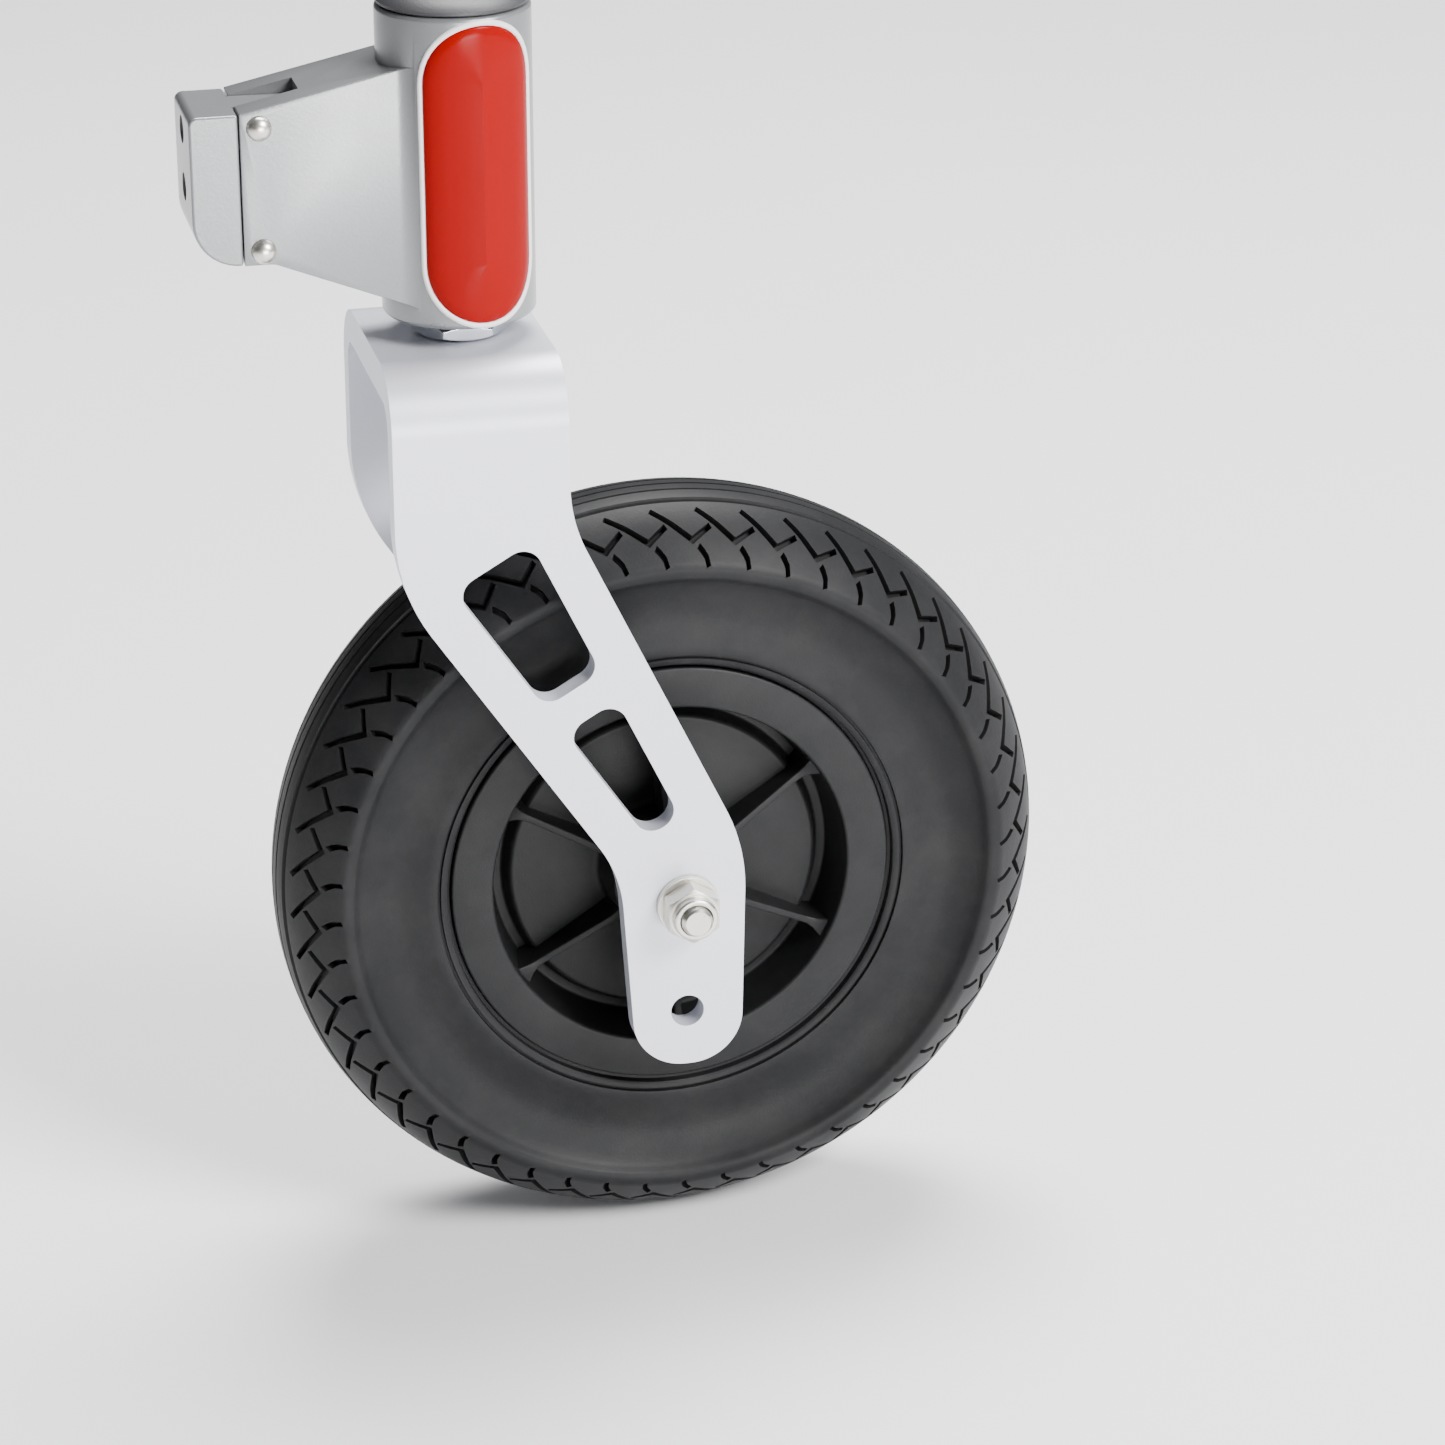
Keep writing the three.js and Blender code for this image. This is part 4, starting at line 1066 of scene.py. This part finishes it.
def makeCap():
    low, high = boxOf("top_cap")
    outer, rise = (high.x - low.x) / 2, head["top"] + cap["gap"]
    profile = [(0, high.z)] + [(outer * share, high.z - drop) for share, drop in cap["dome"]]
    profile += [(outer * cap["rimShare"], rise + lift) for lift in cap["rimRise"]]
    wide, narrow = cap["skirt"]
    profile += [(outer - cap["rimEdge"], rise), (wide, rise), (wide, low.z), (narrow, low.z)]
    profile += [(narrow, high.z - cap["roof"][0]), (0, high.z - cap["roof"][1])]
    skin = turned("top_cap_skin", profile, 96, "Z", centreX=stemX, closed=False)
    return shade(skin, 40, weighted=False)


lug = {
    "rise": 3.2,  # from the tongue's lowest point up to the body's underside
    "frontRadius": 11.0,
    "topRadius": 2.0,
    "edge": 0.8,
    "gap": 0.3,
    "tongueHalf": 5.0,
    "tongueRoot": 2.0,
    "tapRadius": 3.4,
    "tapSpread": 7.0,  # from the middle out to each tapped hole
    "tapDepth": 10.0,
}


def makeLugSkin():
    low, high = boxOf("frame_lug")
    face, bottom, top = low.x, low.z, high.z
    under, bodyEnd = bottom + lug["rise"], head["armEnd"] - lug["gap"]
    outline = rounded([(face, under, lug["frontRadius"]), (bodyEnd, under, 0), (bodyEnd, top, 0),
                       (face, top, lug["topRadius"])], 12)
    body = prism("frame_lug_skin", outline, -head["armHalf"], head["armHalf"], "XZ")
    bevelEdges(body, lug["edge"], 3, 40)
    root = bodyEnd - lug["tongueRoot"]
    outline = [(root, under), (head["underEnd"][0], under), (high.x, bottom), (high.x, top), (root, top)]
    tongue = prism("tongue", outline, -lug["tongueHalf"], lug["tongueHalf"], "XZ")
    combine(body, [tongue], "UNION")
    cuts = pinHoles()
    mountZ = -wheelCentre.z * 1000
    turn = Matrix.Rotation(math.pi / 2, 4, "Z")
    for side in (-1, 1):
        hole = rod("tapped hole", lug["tapRadius"], -lug["tapDepth"], lug["tapDepth"])
        hole.data.transform(Matrix.Translation((face - past, 0, mountZ + side * lug["tapSpread"])) @ turn)
        cuts.append(hole)
    combine(body, cuts, "DIFFERENCE")
    return shade(body, 34)


pin = {
    "shank": 2.5,
    "headHeight": 2.2,
    "domeSteps": 8,
}


def makePin(node):
    low, high = boxOf(node)
    radius, headHeight, steps = (high.x - low.x) / 2, pin["headHeight"], pin["domeSteps"]
    angles = [math.pi / 2 * k / steps for k in range(steps + 1)]
    profile = [(radius * math.sin(a), high.y - headHeight + headHeight * math.cos(a)) for a in angles]
    profile += [(pin["shank"], high.y - headHeight)]
    profile += [(r, -y) for r, y in reversed(profile)]
    skin = turned(node + "_skin", profile, 40, closed=False)
    skin.data.transform(Matrix.Translation(((low.x + high.x) / 2, 0, (low.z + high.z) / 2)))
    return shade(skin, 40, weighted=False)


settle(makeHousingSkin(), "head", castPaint, ["head_housing"])
settle(makeInlay(), "head", redGloss, ["red_inlay"])
settle(makeInlayRim(), "head", paleRim)
settle(makeCap(), "head", blackPlastic, ["top_cap"])
settle(makeLugSkin(), "head", castPaint, ["frame_lug"])
for node in ("lower_lug_pin", "upper_lug_pin"):
    settle(makePin(node), "head", zincPlate, [node])
print("head made")

# what stays as the CAD drew it: bearings, sleeves and spacers inside
for name, obj in frame["nodes"].items():
    finish = groundSteel if "bearing" in name or "sleeve" in name else zincPlate
    obj.data.materials.clear()
    obj.data.materials.append(finish)
print("inner parts finished")


# floor, light and camera
stage = {
    "floorSize": 8.0,
    "floorColor": (0.88, 0.88, 0.89),
    "worldColor": (0.93, 0.94, 1.0),
    "worldStrength": 0.5,
    "worldDim": 0.09,
    "worldFade": (-0.35, 0.6),  # across X, from the dim side to the bright one
}
lights = {
    "key": {"spot": (1.1, -1.5, 1.5), "target": (-0.02, 0, 0.03), "size": (0.9, 0.9), "power": 115},
    "front": {"spot": (0.35, -2.0, 0.0), "target": (0, 0, -0.05), "size": (0.9, 0.5), "power": 42},
    "top": {"spot": (0.4, 0.8, 2.1), "target": (0, 0, 0.05), "size": (1.4, 1.0), "power": 110},
}
camera = {
    "offset": (-0.23665, -1.04143, 0.48766),  # from the wheel's centre
    "azimuth": -13.73,
    "elevation": 22.97,
    "lens": 112.71,
}


def makeFloor():
    half = stage["floorSize"] / 2
    level = wheelCentre.z - tyre["radius"] / 1000
    mesh = bpy.data.meshes.new("floor")
    corners = [(x * half, y * half, level) for x, y in ((-1, -1), (1, -1), (1, 1), (-1, 1))]
    mesh.from_pydata(corners, [], [(0, 1, 2, 3)])
    floor = bpy.data.objects.new("floor", mesh)
    bpy.context.scene.collection.objects.link(floor)
    mesh.materials.append(makeMaterial("studio floor", {
        "color": stage["floorColor"], "roughness": 0.6, "grain": 300, "grainTint": 0.01, "blotch": 3,
        "blotchTint": 0.01, "bump": 0.02}))


def makeLight(name, look):
    light = bpy.data.lights.new(name, "AREA")
    light.shape = "RECTANGLE"
    light.size, light.size_y = look["size"]
    light.energy = look["power"]
    obj = bpy.data.objects.new(name, light)
    obj.location = wheelCentre + Vector(look["spot"])
    aim = wheelCentre + Vector(look["target"]) - obj.location
    obj.rotation_euler = aim.to_track_quat("-Z", "Y").to_euler()
    bpy.context.scene.collection.objects.link(obj)


def makeCamera():
    data = bpy.data.cameras.new("camera")
    data.sensor_width = 36.0
    data.lens = camera["lens"]
    data.clip_start, data.clip_end = 0.05, 50.0
    obj = bpy.data.objects.new("camera", data)
    azimuth, elevation = math.radians(camera["azimuth"]), math.radians(camera["elevation"])
    level = math.cos(elevation)
    back = Vector((math.sin(azimuth) * level, -math.cos(azimuth) * level, math.sin(elevation)))
    obj.location = wheelCentre + Vector(camera["offset"])
    obj.rotation_euler = (-back).to_track_quat("-Z", "Y").to_euler()
    bpy.context.scene.collection.objects.link(obj)
    bpy.context.scene.camera = obj


def makeWorld():
    # soft light all round, dimmer on the side behind the caster
    world = bpy.data.worlds.new("studio")
    world.use_nodes = True
    nodes, link = world.node_tree.nodes, world.node_tree.links.new
    place, split = nodes.new("ShaderNodeTexCoord"), nodes.new("ShaderNodeSeparateXYZ")
    level = nodes.new("ShaderNodeMapRange")
    level.interpolation_type = "SMOOTHSTEP"
    level.inputs["From Min"].default_value, level.inputs["From Max"].default_value = stage["worldFade"]
    level.inputs["To Min"].default_value = stage["worldDim"]
    level.inputs["To Max"].default_value = stage["worldStrength"]
    link(place.outputs["Generated"], split.inputs[0])
    link(split.outputs["X"], level.inputs["Value"])
    background = nodes["Background"]
    background.inputs["Color"].default_value = (*stage["worldColor"], 1)
    link(level.outputs[0], background.inputs["Strength"])
    bpy.context.scene.world = world


makeFloor()
for name, look in lights.items():
    makeLight(name, look)
makeCamera()
makeWorld()
print("stage set")
